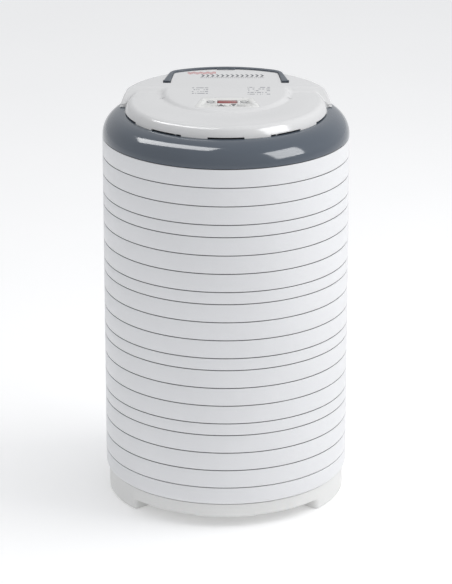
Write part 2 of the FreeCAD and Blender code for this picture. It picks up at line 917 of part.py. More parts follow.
def build_controls():
    """The printed sheet, display, keys, switches and the board that carries them."""
    length, width, window_y = WINDOW
    sheet_blank = panel_slab("overlay_blank", overlay_loop(0), -OVERLAY_THICKNESS, 0, PANEL_X, -20)
    holes = [panel_block("overlay_window", length, width, -1, 1, PANEL_X, window_y)]
    for name, (x, y) in KEYS.items():
        holes.append(panel_pin(name + "_opening", KEY_RADIUS + size.part_gap, -1, 1, x, y))
    keep(cut("control_overlay", sheet_blank, *holes), "control_overlay")
    keep(panel_block("display_window", length, width, -2.2, 0, PANEL_X, window_y), "display_window")
    keep(panel_block("display_module", length - 2, width - 1, -BOARD_DEPTH, -2.6, PANEL_X, window_y),
         "display_module")
    board = panel_block("board_blank", 84, 48, -BOARD_DEPTH - BOARD_THICKNESS, -BOARD_DEPTH,
                        PANEL_X, BOARD_CENTRE_Y)
    drills = [panel_pin(f"board_drill_{number}", 1.3, -12, -8, x, y)
              for number, (x, y) in enumerate(board_places())]
    keep(cut("control_board", board, *drills), "control_board")
    screws = []
    seat = -BOARD_DEPTH - BOARD_THICKNESS
    for number, (x, y) in enumerate(board_places()):
        shank = panel_pin(f"board_shank_{number}", 1.05, seat, -5.4, x, y)
        cap = panel_pin(f"board_head_{number}", 2.1, seat - 1.4, seat, x, y)
        screws.append(fuse(f"board_screw_{number}", shank, cap))
    keep(group("board_screws", screws), "board_screws")
    switches = []
    for name, (x, y) in KEYS.items():
        body = panel_block(name + "_switch_body", 6, 6, -BOARD_DEPTH, -6.1, x, y)
        plunger = panel_pin(name + "_plunger", 1.7, -6.1, -5.3, x, y)
        switches.append(fuse(name + "_switch", body, plunger))
        cap = panel_pin(name + "_cap", KEY_RADIUS, -3.0, 0.4, x, y)
        flange = panel_pin(name + "_flange", KEY_RADIUS + 1.3, -3.8, -3.0, x, y)
        stub = panel_pin(name + "_stub", 1.6, -4.15, -3.8, x, y)
        keep(fuse(name, cap, flange, stub), name)
    keep(group("tact_switches", switches), "tact_switches")


# --- handle ---------------------------------------------------------------------------------


def build_handle():
    """The flat bail that folds down round the rear rim, and the two pins it turns on."""
    leg = size.handle_leg_x
    hub = size.handle_pin_y
    bed = platform_top - size.handle_sink
    top = bed + size.handle_thickness
    body = new_body("handle")
    bar = pad(body, "bail", "XY_Plane", [handle_outline(0)], size.handle_thickness, level=bed)
    doc.recompute()
    edges = []
    for number, edge in enumerate(bar.Shape.Edges, 1):
        if edge.BoundBox.ZLength < 0.01 and edge.BoundBox.ZMax > top.value - 0.01:
            edges.append(f"Edge{number}")
    soft = body.newObject("PartDesign::Fillet", "bail_rounding")
    soft.Base = (bar, edges)
    soft.Radius = 1.6
    grip = rectangle(-15, 161.5, 15, 170)
    pad(body, "grip", "XY_Plane", [grip], size.handle_thickness - 0.6, level=bed)
    pin_z = size.handle_pin_z
    for side in (-1, 1):
        knuckle = [[(hub, pin_z, 4.8)]]
        pad(body, f"knuckle_{side + 1}", "YZ_Plane", knuckle, size.handle_width,
            level=side * leg, midplane=True)
    pocket(body, "pin_bore", "YZ_Plane", [[(hub, pin_z, size.pin_radius + size.running_gap)]], 250)
    keep(body, "handle")
    pins = []
    for side in (-1, 1):
        pins.append(cylinder(f"handle_pin_{side + 1}", size.pin_radius, 17.2, side * leg - 8.6,
                             hub, pin_z, ALONG_X))
    keep(group("handle_pins", pins), "handle_pins")


# --- power head: fan, motor and heater ------------------------------------------------------


def build_plate():
    """The floor of the head: a centre return opening and an outer ring of air outlets."""
    body = new_body("lower_plate")
    revolve(body, "plate_section", [
        (58, 0),
        (size.skirt_inner - 1.6, 0),
        (size.skirt_inner - 1.6, size.wall),
        (61, size.wall),
        (61, size.wall + 1.5),
        (58, size.wall + 1.5),
    ])
    outlet = pocket(body, "outlet", "XY_Plane", [sector(179.0, 187.5, 6.6)], 12)
    around(body, "outlets", outlet, FLOOR_SPOKES)
    circles = ring_of(SCREW_COUNT, SCREW_CIRCLE, 30) + ring_of(3, 112, 90)
    pocket(body, "plate_holes", "XY_Plane", [[(x, y, 2.2)] for x, y in circles], 12)
    place(body, z=plate_bottom)
    keep(body, "lower_plate")
    seats = enumerate(ring_of(SCREW_COUNT, SCREW_CIRCLE, 30))
    keep(group("plate_screws", [screw(f"plate_screw_{number}", x, y, plate_bottom, 14, 1.9)
                                for number, (x, y) in seats]), "plate_screws")
    seats = enumerate(ring_of(SCREW_COUNT, SCREW_CIRCLE, 0))
    under = ring_top - size.flange_thickness
    keep(group("dome_screws", [screw(f"dome_screw_{number}", x, y, under, 11, 1.4)
                               for number, (x, y) in seats]), "dome_screws")


def build_fan_guard():
    """A round wire-thin grille over the return opening."""
    body = new_body("fan_guard")
    pad(body, "guard_rim", "XY_Plane", [[(0, 0, 66)], [(0, 0, 57)]], 1.8)
    arm = pad(body, "guard_arm", "XY_Plane", [rectangle(8, -1.1, 59, 1.1)], 1.8)
    around(body, "guard_arms", arm, 12)
    pad(body, "guard_hub", "XY_Plane", [[(0, 0, 10)]], 1.8)
    for number, radius in enumerate((20, 29, 38, 47)):
        pad(body, f"guard_ring_{number}", "XY_Plane", [[(0, 0, radius + 1)], [(0, 0, radius - 1)]], 1.8)
    place(body, z=plate_bottom - 1.8)
    keep(body, "fan_guard")


def build_fan():
    """A centrifugal impeller on the motor shaft."""
    body = new_body("fan_impeller")
    revolve(body, "fan_hub", [
        (size.shaft_radius, 1.5),
        (10, 1.5),
        (10, fan_height - 6),
        (18, fan_height - 2),
        (size.fan_radius, fan_height - 2),
        (size.fan_radius, fan_height),
        (size.shaft_radius, fan_height),
    ])
    blade = pad(body, "blade", "XY_Plane", [[
        (50, -6),
        (51.2, -6.8),
        (62, 0.5),
        (71, 9),
        (70, 9.8),
        (61, 1.6),
    ]], fan_height - 3, level=1)
    around(body, "blades", blade, FAN_BLADES)
    pad(body, "inlet_ring", "XY_Plane", [[(0, 0, size.fan_radius)], [(0, 0, 50)]], 1.5)
    place(body, z=fan_bottom)
    keep(body, "fan_impeller")
    shaft_length = bracket_bottom + 14 - fan_bottom
    keep(cylinder("motor_shaft", size.shaft_radius, shaft_length, 0, 0, fan_bottom), "motor_shaft")


def build_motor():
    """The motor, the three-legged bracket over the heater and their fixings."""
    legs = ring_of(3, 112, 90)
    plate = cylinder("bracket_plate", size.motor_radius + 4, 2, 0, 0, bracket_bottom)
    pieces = [plate]
    for number, (x, y) in enumerate(legs):
        turn = turn_about((0, 0, 1), 90 + 120 * number)
        corner = turn.multVec(FreeCAD.Vector(20, -8, 0))
        arm = doc.addObject("Part::Box", f"bracket_arm_{number}")
        bind(arm, "Length", 99)
        bind(arm, "Width", 16)
        bind(arm, "Height", 2)
        pieces.append(place(arm, corner.x, corner.y, bracket_bottom, turn))
        height = bracket_bottom + 2 - plate_top
        pieces.append(cylinder(f"bracket_leg_{number}", 5, height, x, y, plate_top))
    holes = [cylinder("bracket_eye", 6, 8, 0, 0, bracket_bottom - 3)]
    for number, (x, y) in enumerate(legs):
        holes.append(cylinder(f"leg_pilot_{number}", 1.7, 12, x, y, plate_top - 1))
    bolts = [(26.0, 15.0), (-26.0, 15.0)]
    for number, (x, y) in enumerate(bolts):
        holes.append(cylinder(f"bolt_tap_{number}", 1.6, 8, x, y, bracket_bottom - 3))
    keep(cut("motor_bracket", fuse("bracket_blank", *pieces), *holes), "motor_bracket")
    keep(group("bracket_screws", [screw(f"bracket_screw_{number}", x, y, plate_bottom, 12, 1.6)
                                  for number, (x, y) in enumerate(legs)]), "bracket_screws")
    can = turned("motor_can", [
        (0, motor_bottom),
        (size.motor_radius - 2, motor_bottom),
        (size.motor_radius, motor_bottom + 2),
        (size.motor_radius, motor_bottom + motor_height - 3),
        (size.motor_radius - 3, motor_bottom + motor_height),
        (0, motor_bottom + motor_height),
    ])
    bore = cylinder("motor_bore", size.shaft_radius + size.running_gap, 16, 0, 0, motor_bottom - 3)
    seat = cylinder("bush_seat", 6, 4.5, 0, 0, motor_bottom - 3)
    holes = [bore, seat]
    for number, (x, y) in enumerate(bolts):
        holes.append(cylinder(f"bolt_hole_{number}", 1.6, 30, x, y, motor_bottom - 5))
    for number, (x, y) in enumerate(ring_of(8, 24, 22.5)):
        holes.append(cylinder(f"motor_vent_{number}", 2.4, 4, x, y, motor_bottom + motor_height - 2))
    keep(cut("motor_body", can, *holes), "motor_body")
    top = motor_bottom + motor_height
    keep(group("motor_bolts", [screw(f"motor_bolt_{number}", x, y, top, 17, 1.5, up=False)
                               for number, (x, y) in enumerate(bolts)]), "motor_bolts")
    bush = cylinder("bush_blank", 6, 4.5, 0, 0, bracket_bottom - 1)
    hole = cylinder("bush_bore", size.shaft_radius + size.running_gap, 8, 0, 0, bracket_bottom - 2)
    keep(cut("shaft_bush", bush, hole), "shaft_bush")


def build_heater():
    """A ring of heating coil carried by six insulating fins on a thin base ring."""
    centre = size.heater_radius
    coil_z = plate_top + 10.5
    disc = cylinder("heater_disc", centre + 10, 1, 0, 0, plate_top)
    pieces = []
    for number in range(6):
        turn = turn_about((0, 0, 1), 60 * number)
        corner = turn.multVec(FreeCAD.Vector(SIZES["heater_radius"] - 9, -0.6, 0))
        fin = doc.addObject("Part::Box", f"heater_fin_{number}")
        bind(fin, "Length", 18)
        bind(fin, "Width", 1.2)
        bind(fin, "Height", 18)
        pieces.append(place(fin, corner.x, corner.y, plate_top + 0.5, turn))
    middle = cylinder("heater_middle", centre - 10, 4, 0, 0, plate_top - 1)
    tunnel = doc.addObject("Part::Torus", "coil_tunnel")
    bind(tunnel, "Radius1", centre)
    bind(tunnel, "Radius2", size.coil_radius + 0.3)
    place(tunnel, 0, 0, coil_z)
    blank = fuse("heater_blank", disc, *pieces)
    keep(cut("heater_frame", blank, middle, tunnel), "heater_frame")
    coil = doc.addObject("Part::Torus", "heater_coil")
    bind(coil, "Radius1", centre)
    bind(coil, "Radius2", size.coil_radius)
    keep(place(coil, 0, 0, coil_z), "heater_coil")
    keep(cylinder("thermostat", 8, 10, 122, 44, plate_top), "thermostat")
    fuse_z = plate_top + 2.2
    keep(cylinder("thermal_fuse", 2.2, 16, -130, -44, fuse_z, ALONG_X), "thermal_fuse")


def build_gland():
    """The cord inlet: a soft flanged bush in the rear of the head."""
    barrel = cylinder("gland_barrel", 6, 21.5, 0, 150, gland_z, ALONG_Y)
    flange = cylinder("gland_flange", 8.5, 3, 0, 171.2, gland_z, ALONG_Y)
    bore = cylinder("gland_bore", 3.7, 40, 0, 145, gland_z, ALONG_Y)
    keep(cut("cord_gland", fuse("gland_blank", barrel, flange), bore), "cord_gland")


def check_document():
    for item in doc.Objects:
        assert "Invalid" not in item.State and "Error" not in item.State, f"{item.Name}: {item.State}"
    for item in subparts:
        assert not item.Shape.isNull(), item.Label
        assert item.Shape.isValid(), item.Label
        print(f"{item.Label:18s} solids {len(item.Shape.Solids)} volume {item.Shape.Volume:.0f}")


build_base()
build_foot_pads()
build_trays()
build_head_ring()
build_dome()
build_controls()
build_handle()
build_plate()
build_fan_guard()
build_fan()
build_motor()
build_heater()
build_gland()
doc.recompute()
check_document()
os.makedirs("parts", exist_ok=True)
for item in subparts:
    item.Shape.exportStep(f"parts/{item.Label}.step")
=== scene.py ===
import math

import bmesh
import bpy
from mathutils import Matrix, Vector


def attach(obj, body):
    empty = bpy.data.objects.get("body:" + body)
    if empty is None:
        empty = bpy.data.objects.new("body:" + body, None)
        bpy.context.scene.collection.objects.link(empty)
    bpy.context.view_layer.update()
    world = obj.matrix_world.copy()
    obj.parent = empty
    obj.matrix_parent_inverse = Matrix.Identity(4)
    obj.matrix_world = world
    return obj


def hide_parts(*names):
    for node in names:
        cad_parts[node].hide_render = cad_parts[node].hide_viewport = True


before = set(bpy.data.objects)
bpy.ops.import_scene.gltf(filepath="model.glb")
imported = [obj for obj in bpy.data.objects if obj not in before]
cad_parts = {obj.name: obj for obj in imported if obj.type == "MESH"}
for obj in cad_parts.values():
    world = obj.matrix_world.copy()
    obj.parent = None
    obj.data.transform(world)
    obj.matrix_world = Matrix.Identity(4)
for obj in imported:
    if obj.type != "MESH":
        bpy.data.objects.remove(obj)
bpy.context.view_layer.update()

# Looks of a round stacking-tray dryer. Lengths below are in millimetres and become metres when
# a mesh is made. Every piece is drawn where it stands at rest, so its own coordinates are the
# frame's coordinates.

MM = 0.001
TRAY_COUNT = 20
TOWER = 197.0
SEAM = 1.2
STACK_TOP = 600.0
RING_TOP = 637.0
DECK = 660.0
HEAD_ROUND = 36.0
SCREW_CIRCLE = 155.5
CORD_Z = 647.0
PLATE_TOP = 605.5
SPOKES = 48
SMOOTH = 256


def tray_pitch(number):
    return 20.0 if number % 4 == 0 and number < TRAY_COUNT else 30.0


def tray_level(number):
    return 40.0 + sum(tray_pitch(lower) for lower in range(number + 1, TRAY_COUNT + 1))


# --- mesh parts: each is (vertices, faces) ---------------------------------------------------


def joined(*parts):
    """Several parts as one."""
    verts, faces = [], []
    for part_verts, part_faces in parts:
        start = len(verts)
        verts.extend(part_verts)
        faces.extend([tuple(v + start for v in face) for face in part_faces])
    return verts, faces


def moved(part, matrix):
    return [tuple(matrix @ Vector(v)) for v in part[0]], part[1]


def shifted(part, x=0.0, y=0.0, z=0.0):
    return moved(part, Matrix.Translation((x, y, z)))


def rotated(part, degrees, axis):
    return moved(part, Matrix.Rotation(math.radians(degrees), 4, axis))


def around(count, start, radius):
    """Places spread evenly round the Z axis from a starting bearing."""
    angles = [math.radians(start + 360 / count * number) for number in range(count)]
    return [(radius * math.cos(angle), radius * math.sin(angle)) for angle in angles]


def softened(points, radius, steps=3):
    """A closed outline with rounded corners. A point's own third number overrides the radius."""
    out = []
    count = len(points)
    for index, point in enumerate(points):
        here = Vector(point[:2])
        before = Vector(points[index - 1][:2]) - here
        after = Vector(points[(index + 1) % count][:2]) - here
        reach = point[2] if len(point) > 2 else radius
        if reach <= 0 or before.length < 1e-6 or after.length < 1e-6:
            out.append(tuple(here))
            continue
        turn = before.angle(after)
        cut = reach / math.tan(turn / 2) if turn < math.pi - 0.01 else 0
        cut = min(cut, 0.49 * min(before.length, after.length))
        if cut < 1e-4:
            out.append(tuple(here))
            continue
        start = here + before.normalized() * cut
        end = here + after.normalized() * cut
        for step in range(steps + 1):
            t = step / steps
            out.append(tuple(start * (1 - t) ** 2 + here * (2 * t * (1 - t)) + end * t * t))
    return out


def soft_rectangle(wide, deep, corner):
    x, y = wide / 2, deep / 2
    return softened([(-x, -y), (x, -y), (x, y), (-x, y)], corner, 3)


def arc(cx, cz, radius, start, end, steps):
    """Points of an arc, angles in degrees."""
    places = []
    for step in range(steps + 1):
        angle = math.radians(start + (end - start) * step / steps)
        places.append((cx + radius * math.cos(angle), cz + radius * math.sin(angle), 0))
    return places


def turned(profile, count=SMOOTH):
    """A closed outline of radius and height turned round the Z axis."""
    verts, faces, rows = [], [], []
    for point in profile:
        radius, height = point[:2]
        if radius < 1e-6:
            rows.append([len(verts)])
            verts.append((0.0, 0.0, height))
            continue
        rows.append(list(range(len(verts), len(verts) + count)))
        for step in range(count):
            angle = 2 * math.pi * step / count
            verts.append((radius * math.cos(angle), radius * math.sin(angle), height))
    for index, row in enumerate(rows):
        after = rows[(index + 1) % len(rows)]
        if len(row) == 1 and len(after) == 1:
            continue
        for step in range(count):
            following = (step + 1) % count
            if len(row) == 1:
                faces.append((row[0], after[following], after[step]))
            elif len(after) == 1:
                faces.append((row[step], row[following], after[0]))
            else:
                faces.append((row[step], row[following], after[following], after[step]))
    return verts, faces


def pin(radius, low, high, edge=0.3, count=24):
    """A round pin or disc with softened edges, standing on Z."""
    outline = softened([(0, low, 0), (radius, low), (radius, high), (0, high, 0)], edge)
    return turned(outline, count)


def tube(inner, outer, low, high, edge=0.3, count=32):
    return turned(softened([(inner, low), (outer, low), (outer, high), (inner, high)], edge), count)


def loft(loops, closed=False, caps=True):
    """A skin through loops of equal length, capped unless the loops close on themselves."""
    verts = [tuple(v) for loop in loops for v in loop]
    size = len(loops[0])
    faces = []
    last = len(loops) if closed else len(loops) - 1
    for index in range(last):
        here, after = index * size, ((index + 1) % len(loops)) * size
        for step in range(size):
            following = (step + 1) % size
            faces.append((here + step, here + following, after + following, after + step))
    if caps and not closed:
        faces.append(tuple(reversed(range(size))))
        faces.append(tuple(range(len(verts) - size, len(verts))))
    return verts, faces


def slab(outline, low, high, edge=0.4):
    """A plate of that outline with its upper and lower edges softened."""
    centre = sum((Vector(p[:2]) for p in outline), Vector((0, 0))) / len(outline)
    count = len(outline)
    inward = []
    for index in range(count):
        along = Vector(outline[(index + 1) % count][:2]) - Vector(outline[index - 1][:2])
        side = Vector((-along.y, along.x)).normalized()
        if side.dot(centre - Vector(outline[index][:2])) < 0:
            side = -side
        inward.append(side)
    levels = [(edge, low), (edge * 0.3, low + edge * 0.3), (0, low + edge)]
    levels += [(inset, low + high - height) for inset, height in reversed(levels)]
    return loft([[(p[0] + side.x * inset, p[1] + side.y * inset, height)
                  for p, side in zip(outline, inward)] for inset, height in levels])


def block(x, y, z, wide, deep, tall, corner=1.0, edge=0.4):
    """A box centred on X and Y that stands on z, with soft corners and edges."""
    return shifted(slab(soft_rectangle(wide, deep, corner), z, z + tall, edge), x, y)


def sector(inner, outer, half, bearing, low, high, edge=0.3, steps=6):
    """A plate between two radii, within half an angle each side of a bearing."""
    outline = []
    for radius, sign in ((inner, 1), (outer, -1)):
        for step in range(steps + 1):
            angle = math.radians(bearing + sign * half * (1 - 2 * step / steps))
            outline.append((radius * math.cos(angle), radius * math.sin(angle)))
    return slab(outline, low, high, edge)


def wire(path, radius, sides):
    """A round wire along a closed path of points."""
    loops = []
    count = len(path)
    normal = None
    for index, point in enumerate(path):
        here = Vector(point)
        along = (Vector(path[(index + 1) % count]) - Vector(path[index - 1])).normalized()
        if normal is None:
            normal = along.orthogonal().normalized()
        normal = (normal - along * normal.dot(along)).normalized()
        other = along.cross(normal)
        loops.append([here + (normal * math.cos(a) + other * math.sin(a)) * radius
                      for a in (2 * math.pi * s / sides for s in range(sides))])
    return loft(loops, closed=True)


def pierced(columns, rows, solid, place):
    """A plate with windows. solid(column, row) says which cells are filled, and place(column
    line, row line, side) gives a corner. The columns close on themselves."""
    verts, faces, known = [], [], {}

    def corner(column, row, side):
        key = (column % columns, row, side)
        if key not in known:
            known[key] = len(verts)
            verts.append(place(*key))
        return known[key]

    for column in range(columns):
        for row in range(rows):
            if not solid(column, row):
                continue
            a, b = column, column + 1
            c, d = row, row + 1
            faces.append(tuple(corner(*k) for k in ((a, c, 1), (b, c, 1), (b, d, 1), (a, d, 1))))
            faces.append(tuple(corner(*k) for k in ((a, d, 0), (b, d, 0), (b, c, 0), (a, c, 0))))
            borders = (
                ((a, c), (b, c), (column, row - 1)),
                ((b, c), (b, d), ((column + 1) % columns, row)),
                ((b, d), (a, d), (column, row + 1)),
                ((a, d), (a, c), ((column - 1) % columns, row)),
            )
            for first, second, beyond in borders:
                if 0 <= beyond[1] < rows and solid(*beyond):
                    continue
                faces.append((corner(*first, 0), corner(*second, 0),
                              corner(*second, 1), corner(*first, 1)))
    return verts, faces


def made(name, part, sharp=34.0):
    """A Blender object of a part, smooth but for edges sharper than an angle."""
    mesh = bpy.data.meshes.new(name)
    mesh.from_pydata([tuple(c * MM for c in v) for v in part[0]], [], part[1])
    mesh.validate()
    work = bmesh.new()
    work.from_mesh(mesh)
    bmesh.ops.remove_doubles(work, verts=work.verts, dist=1e-7)
    bmesh.ops.recalc_face_normals(work, faces=work.faces)
    work.to_mesh(mesh)
    work.free()
    mesh.shade_smooth()
    mesh.set_sharp_from_angle(angle=math.radians(sharp))
    item = bpy.data.objects.new(name, mesh)
    bpy.context.scene.collection.objects.link(item)
    return item


def apply_modifiers(item):
    """Turn the modifiers of a piece into its mesh."""
    graph = bpy.context.evaluated_depsgraph_get()
    mesh = bpy.data.meshes.new_from_object(item.evaluated_get(graph))
    item.modifiers.clear()
    item.data = mesh
    return item


def carved(item, cutter_parts):
    """Cut closed parts out of a piece, one set after another."""
    for number, part in enumerate(cutter_parts):
        cutter = made(f"cutter_{number}", part)
        cut = item.modifiers.new("cut", "BOOLEAN")
        cut.object = cutter
        cut.operation = "DIFFERENCE"
        cut.solver = "EXACT"
        apply_modifiers(item)
        bpy.data.objects.remove(cutter)
    return item


def dressed(item, body, material, node):
    """Give a piece its body and its material, and hide the CAD node it stands for."""
    item.data.materials.clear()
    item.data.materials.append(material)
    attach(item, body)
    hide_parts(node)


def piece(node, part, body, material, sharp=34.0):
    """Make the visible piece of one CAD node."""
    dressed(made(f"{node}_visual", part, sharp), body, material, node)


# --- materials -------------------------------------------------------------------------------


class Field:
    """A number that varies over a surface, made of math nodes."""

    def __init__(self, tree, source):
        self.tree = tree
        self.source = source

    def do(self, operation, *others, clamp=False):
        node = self.tree.nodes.new("ShaderNodeMath")
        node.operation = operation
        node.use_clamp = clamp
        for socket, value in zip(node.inputs, (self, *others)):
            if isinstance(value, Field):
                self.tree.links.new(value.source, socket)
            else:
                socket.default_value = value
        return Field(self.tree, node.outputs[0])

    def __add__(self, other):
        return self.do("ADD", other)

    def __sub__(self, other):
        return self.do("SUBTRACT", other)

    def __mul__(self, other):
        return self.do("MULTIPLY", other)

    def __abs__(self):
        return self.do("ABSOLUTE")

    def within(self, centre, half, soft=0.25):
        """1 where the number is within half of a centre, with a soft edge."""
        return (abs(self - centre) * (-1 / soft)).do("ADD", half / soft + 0.5, clamp=True)

    def either(self, other):
        return self.do("MAXIMUM", other)

    def cycle(self, length):
        """The number's place within a repeated length."""
        return self.do("FLOORED_MODULO", length)

    def stepped(self, length):
        return (self * (1 / length)).do("FLOOR")


class Surface:
    """A procedural material: a Principled shader and the fields that drive it."""

    def __init__(self, name, colour, roughness, metallic=0.0, coat=0.0):
        self.material = bpy.data.materials.new(name)
        self.material.use_nodes = True
        self.tree = self.material.node_tree
        self.tree.nodes.clear()
        output = self.node("OutputMaterial")
        self.shader = self.node("BsdfPrincipled")
        self.link(self.shader.outputs[0], output.inputs[0])
        settings = {"Roughness": roughness, "Metallic": metallic, "IOR": 1.46,
                    "Coat Weight": coat, "Coat Roughness": 0.08}
        for socket, value in settings.items():
            self.shader.inputs[socket].default_value = value
        self.place = self.node("TexCoord")
        split = self.node("SeparateXYZ")
        self.link(self.place.outputs["Object"], split.inputs[0])
        self.x, self.y, self.z = [Field(self.tree, split.outputs[n]) * 1000.0 for n in range(3)]
        base = self.node("RGB")
        base.outputs[0].default_value = (*colour, 1)
        self.colour = base.outputs[0]
        self.normal = None

    def node(self, kind):
        return self.tree.nodes.new("ShaderNode" + kind)

    def link(self, source, socket):
        self.tree.links.new(source, socket)

    def mixed(self, blend):
        """Put a colour mix over the colour so far. Gives its factor and its second colour."""
        node = self.node("Mix")
        node.data_type = "RGBA"
        node.blend_type = blend
        self.link(self.colour, node.inputs[6])
        self.colour = node.outputs[2]
        return node.inputs[0], node.inputs[7]

    def stretched(self, scale):
        """Object coordinates with a scale of their own on each axis."""
        node = self.node("Mapping")
        node.inputs["Scale"].default_value = scale
        self.link(self.place.outputs["Object"], node.inputs[0])
        return node.outputs[0]

    def noise(self, scale, detail=2.0, rough=0.5, stretch=None):
        """Noise whose scale is in cells per metre."""
        node = self.node("TexNoise")
        node.inputs["Scale"].default_value = scale
        node.inputs["Detail"].default_value = detail
        node.inputs["Roughness"].default_value = rough
        source = self.stretched(stretch) if stretch else self.place.outputs["Object"]
        self.link(source, node.inputs["Vector"])
        return Field(self.tree, node.outputs["Fac"])

    def chance(self, *fields):
        """A random number for each cell named by whole-number fields."""
        gather = self.node("CombineXYZ")
        for socket, field in zip(gather.inputs, fields):
            self.link(field.source, socket)
        node = self.node("TexWhiteNoise")
        self.link(gather.outputs[0], node.inputs["Vector"])
        return Field(self.tree, node.outputs["Value"])

    def spread(self, field, low, high):
        """The middle range of a noise, spread between two numbers."""
        node = self.node("MapRange")
        for socket, value in zip(node.inputs[1:5], (0.3, 0.7, low, high)):
            socket.default_value = value
        self.link(field.source, node.inputs[0])
        return node.outputs[0]

    def tint(self, field, colour):
        """Lay another colour over the surface where the field is 1."""
        factor, second = self.mixed("MIX")
        self.link(field.source, factor)
        second.default_value = (*colour, 1)

    def shade(self, field, low, high):
        """Multiply the colour between two greys by the field."""
        factor, second = self.mixed("MULTIPLY")
        factor.default_value = 1.0
        self.link(self.spread(field, low, high), second)

    def gloss(self, field, low, high):
        """Roughness between two values by the field."""
        self.link(self.spread(field, low, high), self.shader.inputs["Roughness"])

    def bump(self, field, strength, depth):
        """Relief of that depth in metres."""
        node = self.node("Bump")
        node.inputs["Strength"].default_value = strength
        node.inputs["Distance"].default_value = depth
        self.link(field.source, node.inputs["Height"])
        if self.normal is not None:
            self.link(self.normal, node.inputs["Normal"])
        self.normal = node.outputs[0]

    def done(self):
        self.link(self.colour, self.shader.inputs["Base Color"])
        if self.normal is not None:
            self.link(self.normal, self.shader.inputs["Normal"])
        return self.material


def moulded(name, colour, rough, grain, relief, variation=0.04):
    """Moulded plastic: a fine skin, slow colour drift and uneven gloss."""
    skin = Surface(name, colour, rough[0])
    skin.shade(skin.noise(9.0, 3.0), 1 - variation, 1.0)
    skin.shade(skin.noise(grain * 0.8, 2.0, 0.6), 1 - variation * 0.6, 1.0)
    skin.gloss(skin.noise(60.0, 4.0, 0.6), *rough)
    skin.bump(skin.noise(grain, 2.0, 0.6), 0.35, relief)
    return skin.done()


def metal(name, colour, rough, stretch=(1, 1, 1)):
    """Plain metal with drawn or turned marks."""
    skin = Surface(name, colour, rough[0], metallic=1.0)
    marks = skin.noise(1200.0, 3.0, 0.7, stretch)
    skin.shade(skin.noise(70.0, 4.0), 0.82, 1.0)
    skin.gloss(marks, *rough)
    skin.bump(marks, 0.25, 0.00002)
    return skin.done()


def printed(film, x_mid, x_half, y_low, rows, pitch, tall):
    """Rows of short marks, like a very small table."""
    line = film.y - y_low
    row = line.stepped(pitch)
    reach = rows * pitch / 2
    inside = film.x.within(x_mid, x_half) * film.y.within(y_low + reach, reach)
    letter = film.chance(film.x.stepped(1.7), row).do("GREATER_THAN", 0.3)
    word = film.chance(film.x.stepped(6.5), row + 31.0).do("GREATER_THAN", 0.22)
    return line.cycle(pitch).within(pitch / 2, tall / 2, 0.4) * letter * word * inside


def dome_finish():
    """Pale glossy plastic with a fine speckle. Generic marks are printed on it: red waves,
    chevrons and a ticked rule on the rear deck, and two tables on the panel."""
    skin = Surface("dome_plastic", (0.70, 0.70, 0.70), 0.2, coat=0.3)
    skin.shade(skin.noise(8.0, 3.0), 0.97, 1.0)
    skin.shade(skin.noise(1400.0, 1.0, 0.5), 0.93, 1.0)
    skin.gloss(skin.noise(500.0, 3.0), 0.10, 0.22)
    skin.bump(skin.noise(1100.0, 2.0, 0.6), 0.35, 0.00004)
    on_deck = skin.z.within(DECK, 3.0)
    wave_length, wave_y, chevron_y, rule_y = 11.0, 141.0, 124.5, 112.0
    wave = (skin.x * (2 * math.pi / wave_length)).do("SINE") * 2.2
    lines = abs(skin.y - wave_y - wave).within(0, 1.4)
    for apart in (4.8, -4.8):
        lines = lines.either(abs(skin.y - (wave_y + apart) - wave).within(0, 1.1))
    skin.tint(lines * skin.x.within(-39.5, 23.0) * on_deck, (0.42, 0.012, 0.01))
    lean = skin.x + abs(skin.y - chevron_y) * 0.45
    chevrons = lean.cycle(8.0).within(4.0, 1.7) * skin.y.within(chevron_y, 7.5)
    rule = skin.y.within(rule_y, 1.3) * skin.x.cycle(3.0).within(1.5, 1.0)
    skin.tint(chevrons.either(rule) * skin.x.within(10.0, 52.0) * on_deck, (0.05, 0.055, 0.07))
    left_table = printed(skin, -41.5, 13.0, 21.0, 4, 9.0, 3.0)
    right_table = printed(skin, 52.5, 18.0, 17.0, 5, 8.5, 3.0)
    skin.tint(left_table.either(right_table), (0.16, 0.17, 0.19))
    return skin.done()


def ring_finish():
    """Slate grey plastic, polished, with a faint haze."""
    skin = Surface("ring_plastic", (0.088, 0.106, 0.132), 0.1, coat=0.35)
    skin.shade(skin.noise(7.0, 3.0), 0.93, 1.0)
    skin.shade(skin.noise(1500.0, 1.0), 0.95, 1.0)
    skin.gloss(skin.noise(300.0, 4.0, 0.65), 0.07, 0.15)
    skin.bump(skin.noise(420.0, 3.0, 0.5), 0.12, 0.00002)
    return skin.done()


def tray_finish(name, skirt):
    """Cool white plastic with a satin skin and faint turned marks, and painted shade on the nesting
    skirt so the seams between trays fall dark.
    """
    skin = Surface(name, (0.775, 0.78, 0.795), 0.38)
    radius = (skin.x * skin.x + skin.y * skin.y).do("SQRT")
    # Painted shade: dark grey laid on the nesting skirt's radius, standing in for the shadow in the
    # seam gaps between trays.
    skin.tint(radius.within(skirt, 3.3, 0.5) * 0.82, (0.07, 0.075, 0.085))
    skin.shade(skin.noise(6.0, 3.0), 0.97, 1.0)
    skin.shade(skin.noise(700.0, 2.0, 0.6), 0.975, 1.0)
    skin.gloss(skin.noise(45.0, 4.0, 0.6), 0.32, 0.48)
    skin.bump(skin.noise(650.0, 2.0, 0.6), 0.3, 0.00003)
    skin.bump(skin.noise(260.0, 3.0, 0.5, (0.05, 0.05, 6.0)), 0.2, 0.00002)
    return skin.done()


def panel_finish():
    """The printed sheet: a pale film with a fine grain."""
    film = Surface("panel_film", (0.73, 0.73, 0.715), 0.25, coat=0.2)
    film.shade(film.noise(1200.0, 1.0), 0.95, 1.0)
    film.gloss(film.noise(160.0, 3.0), 0.24, 0.36)
    film.bump(film.noise(900.0, 2.0), 0.3, 0.00002)
    return film.done()


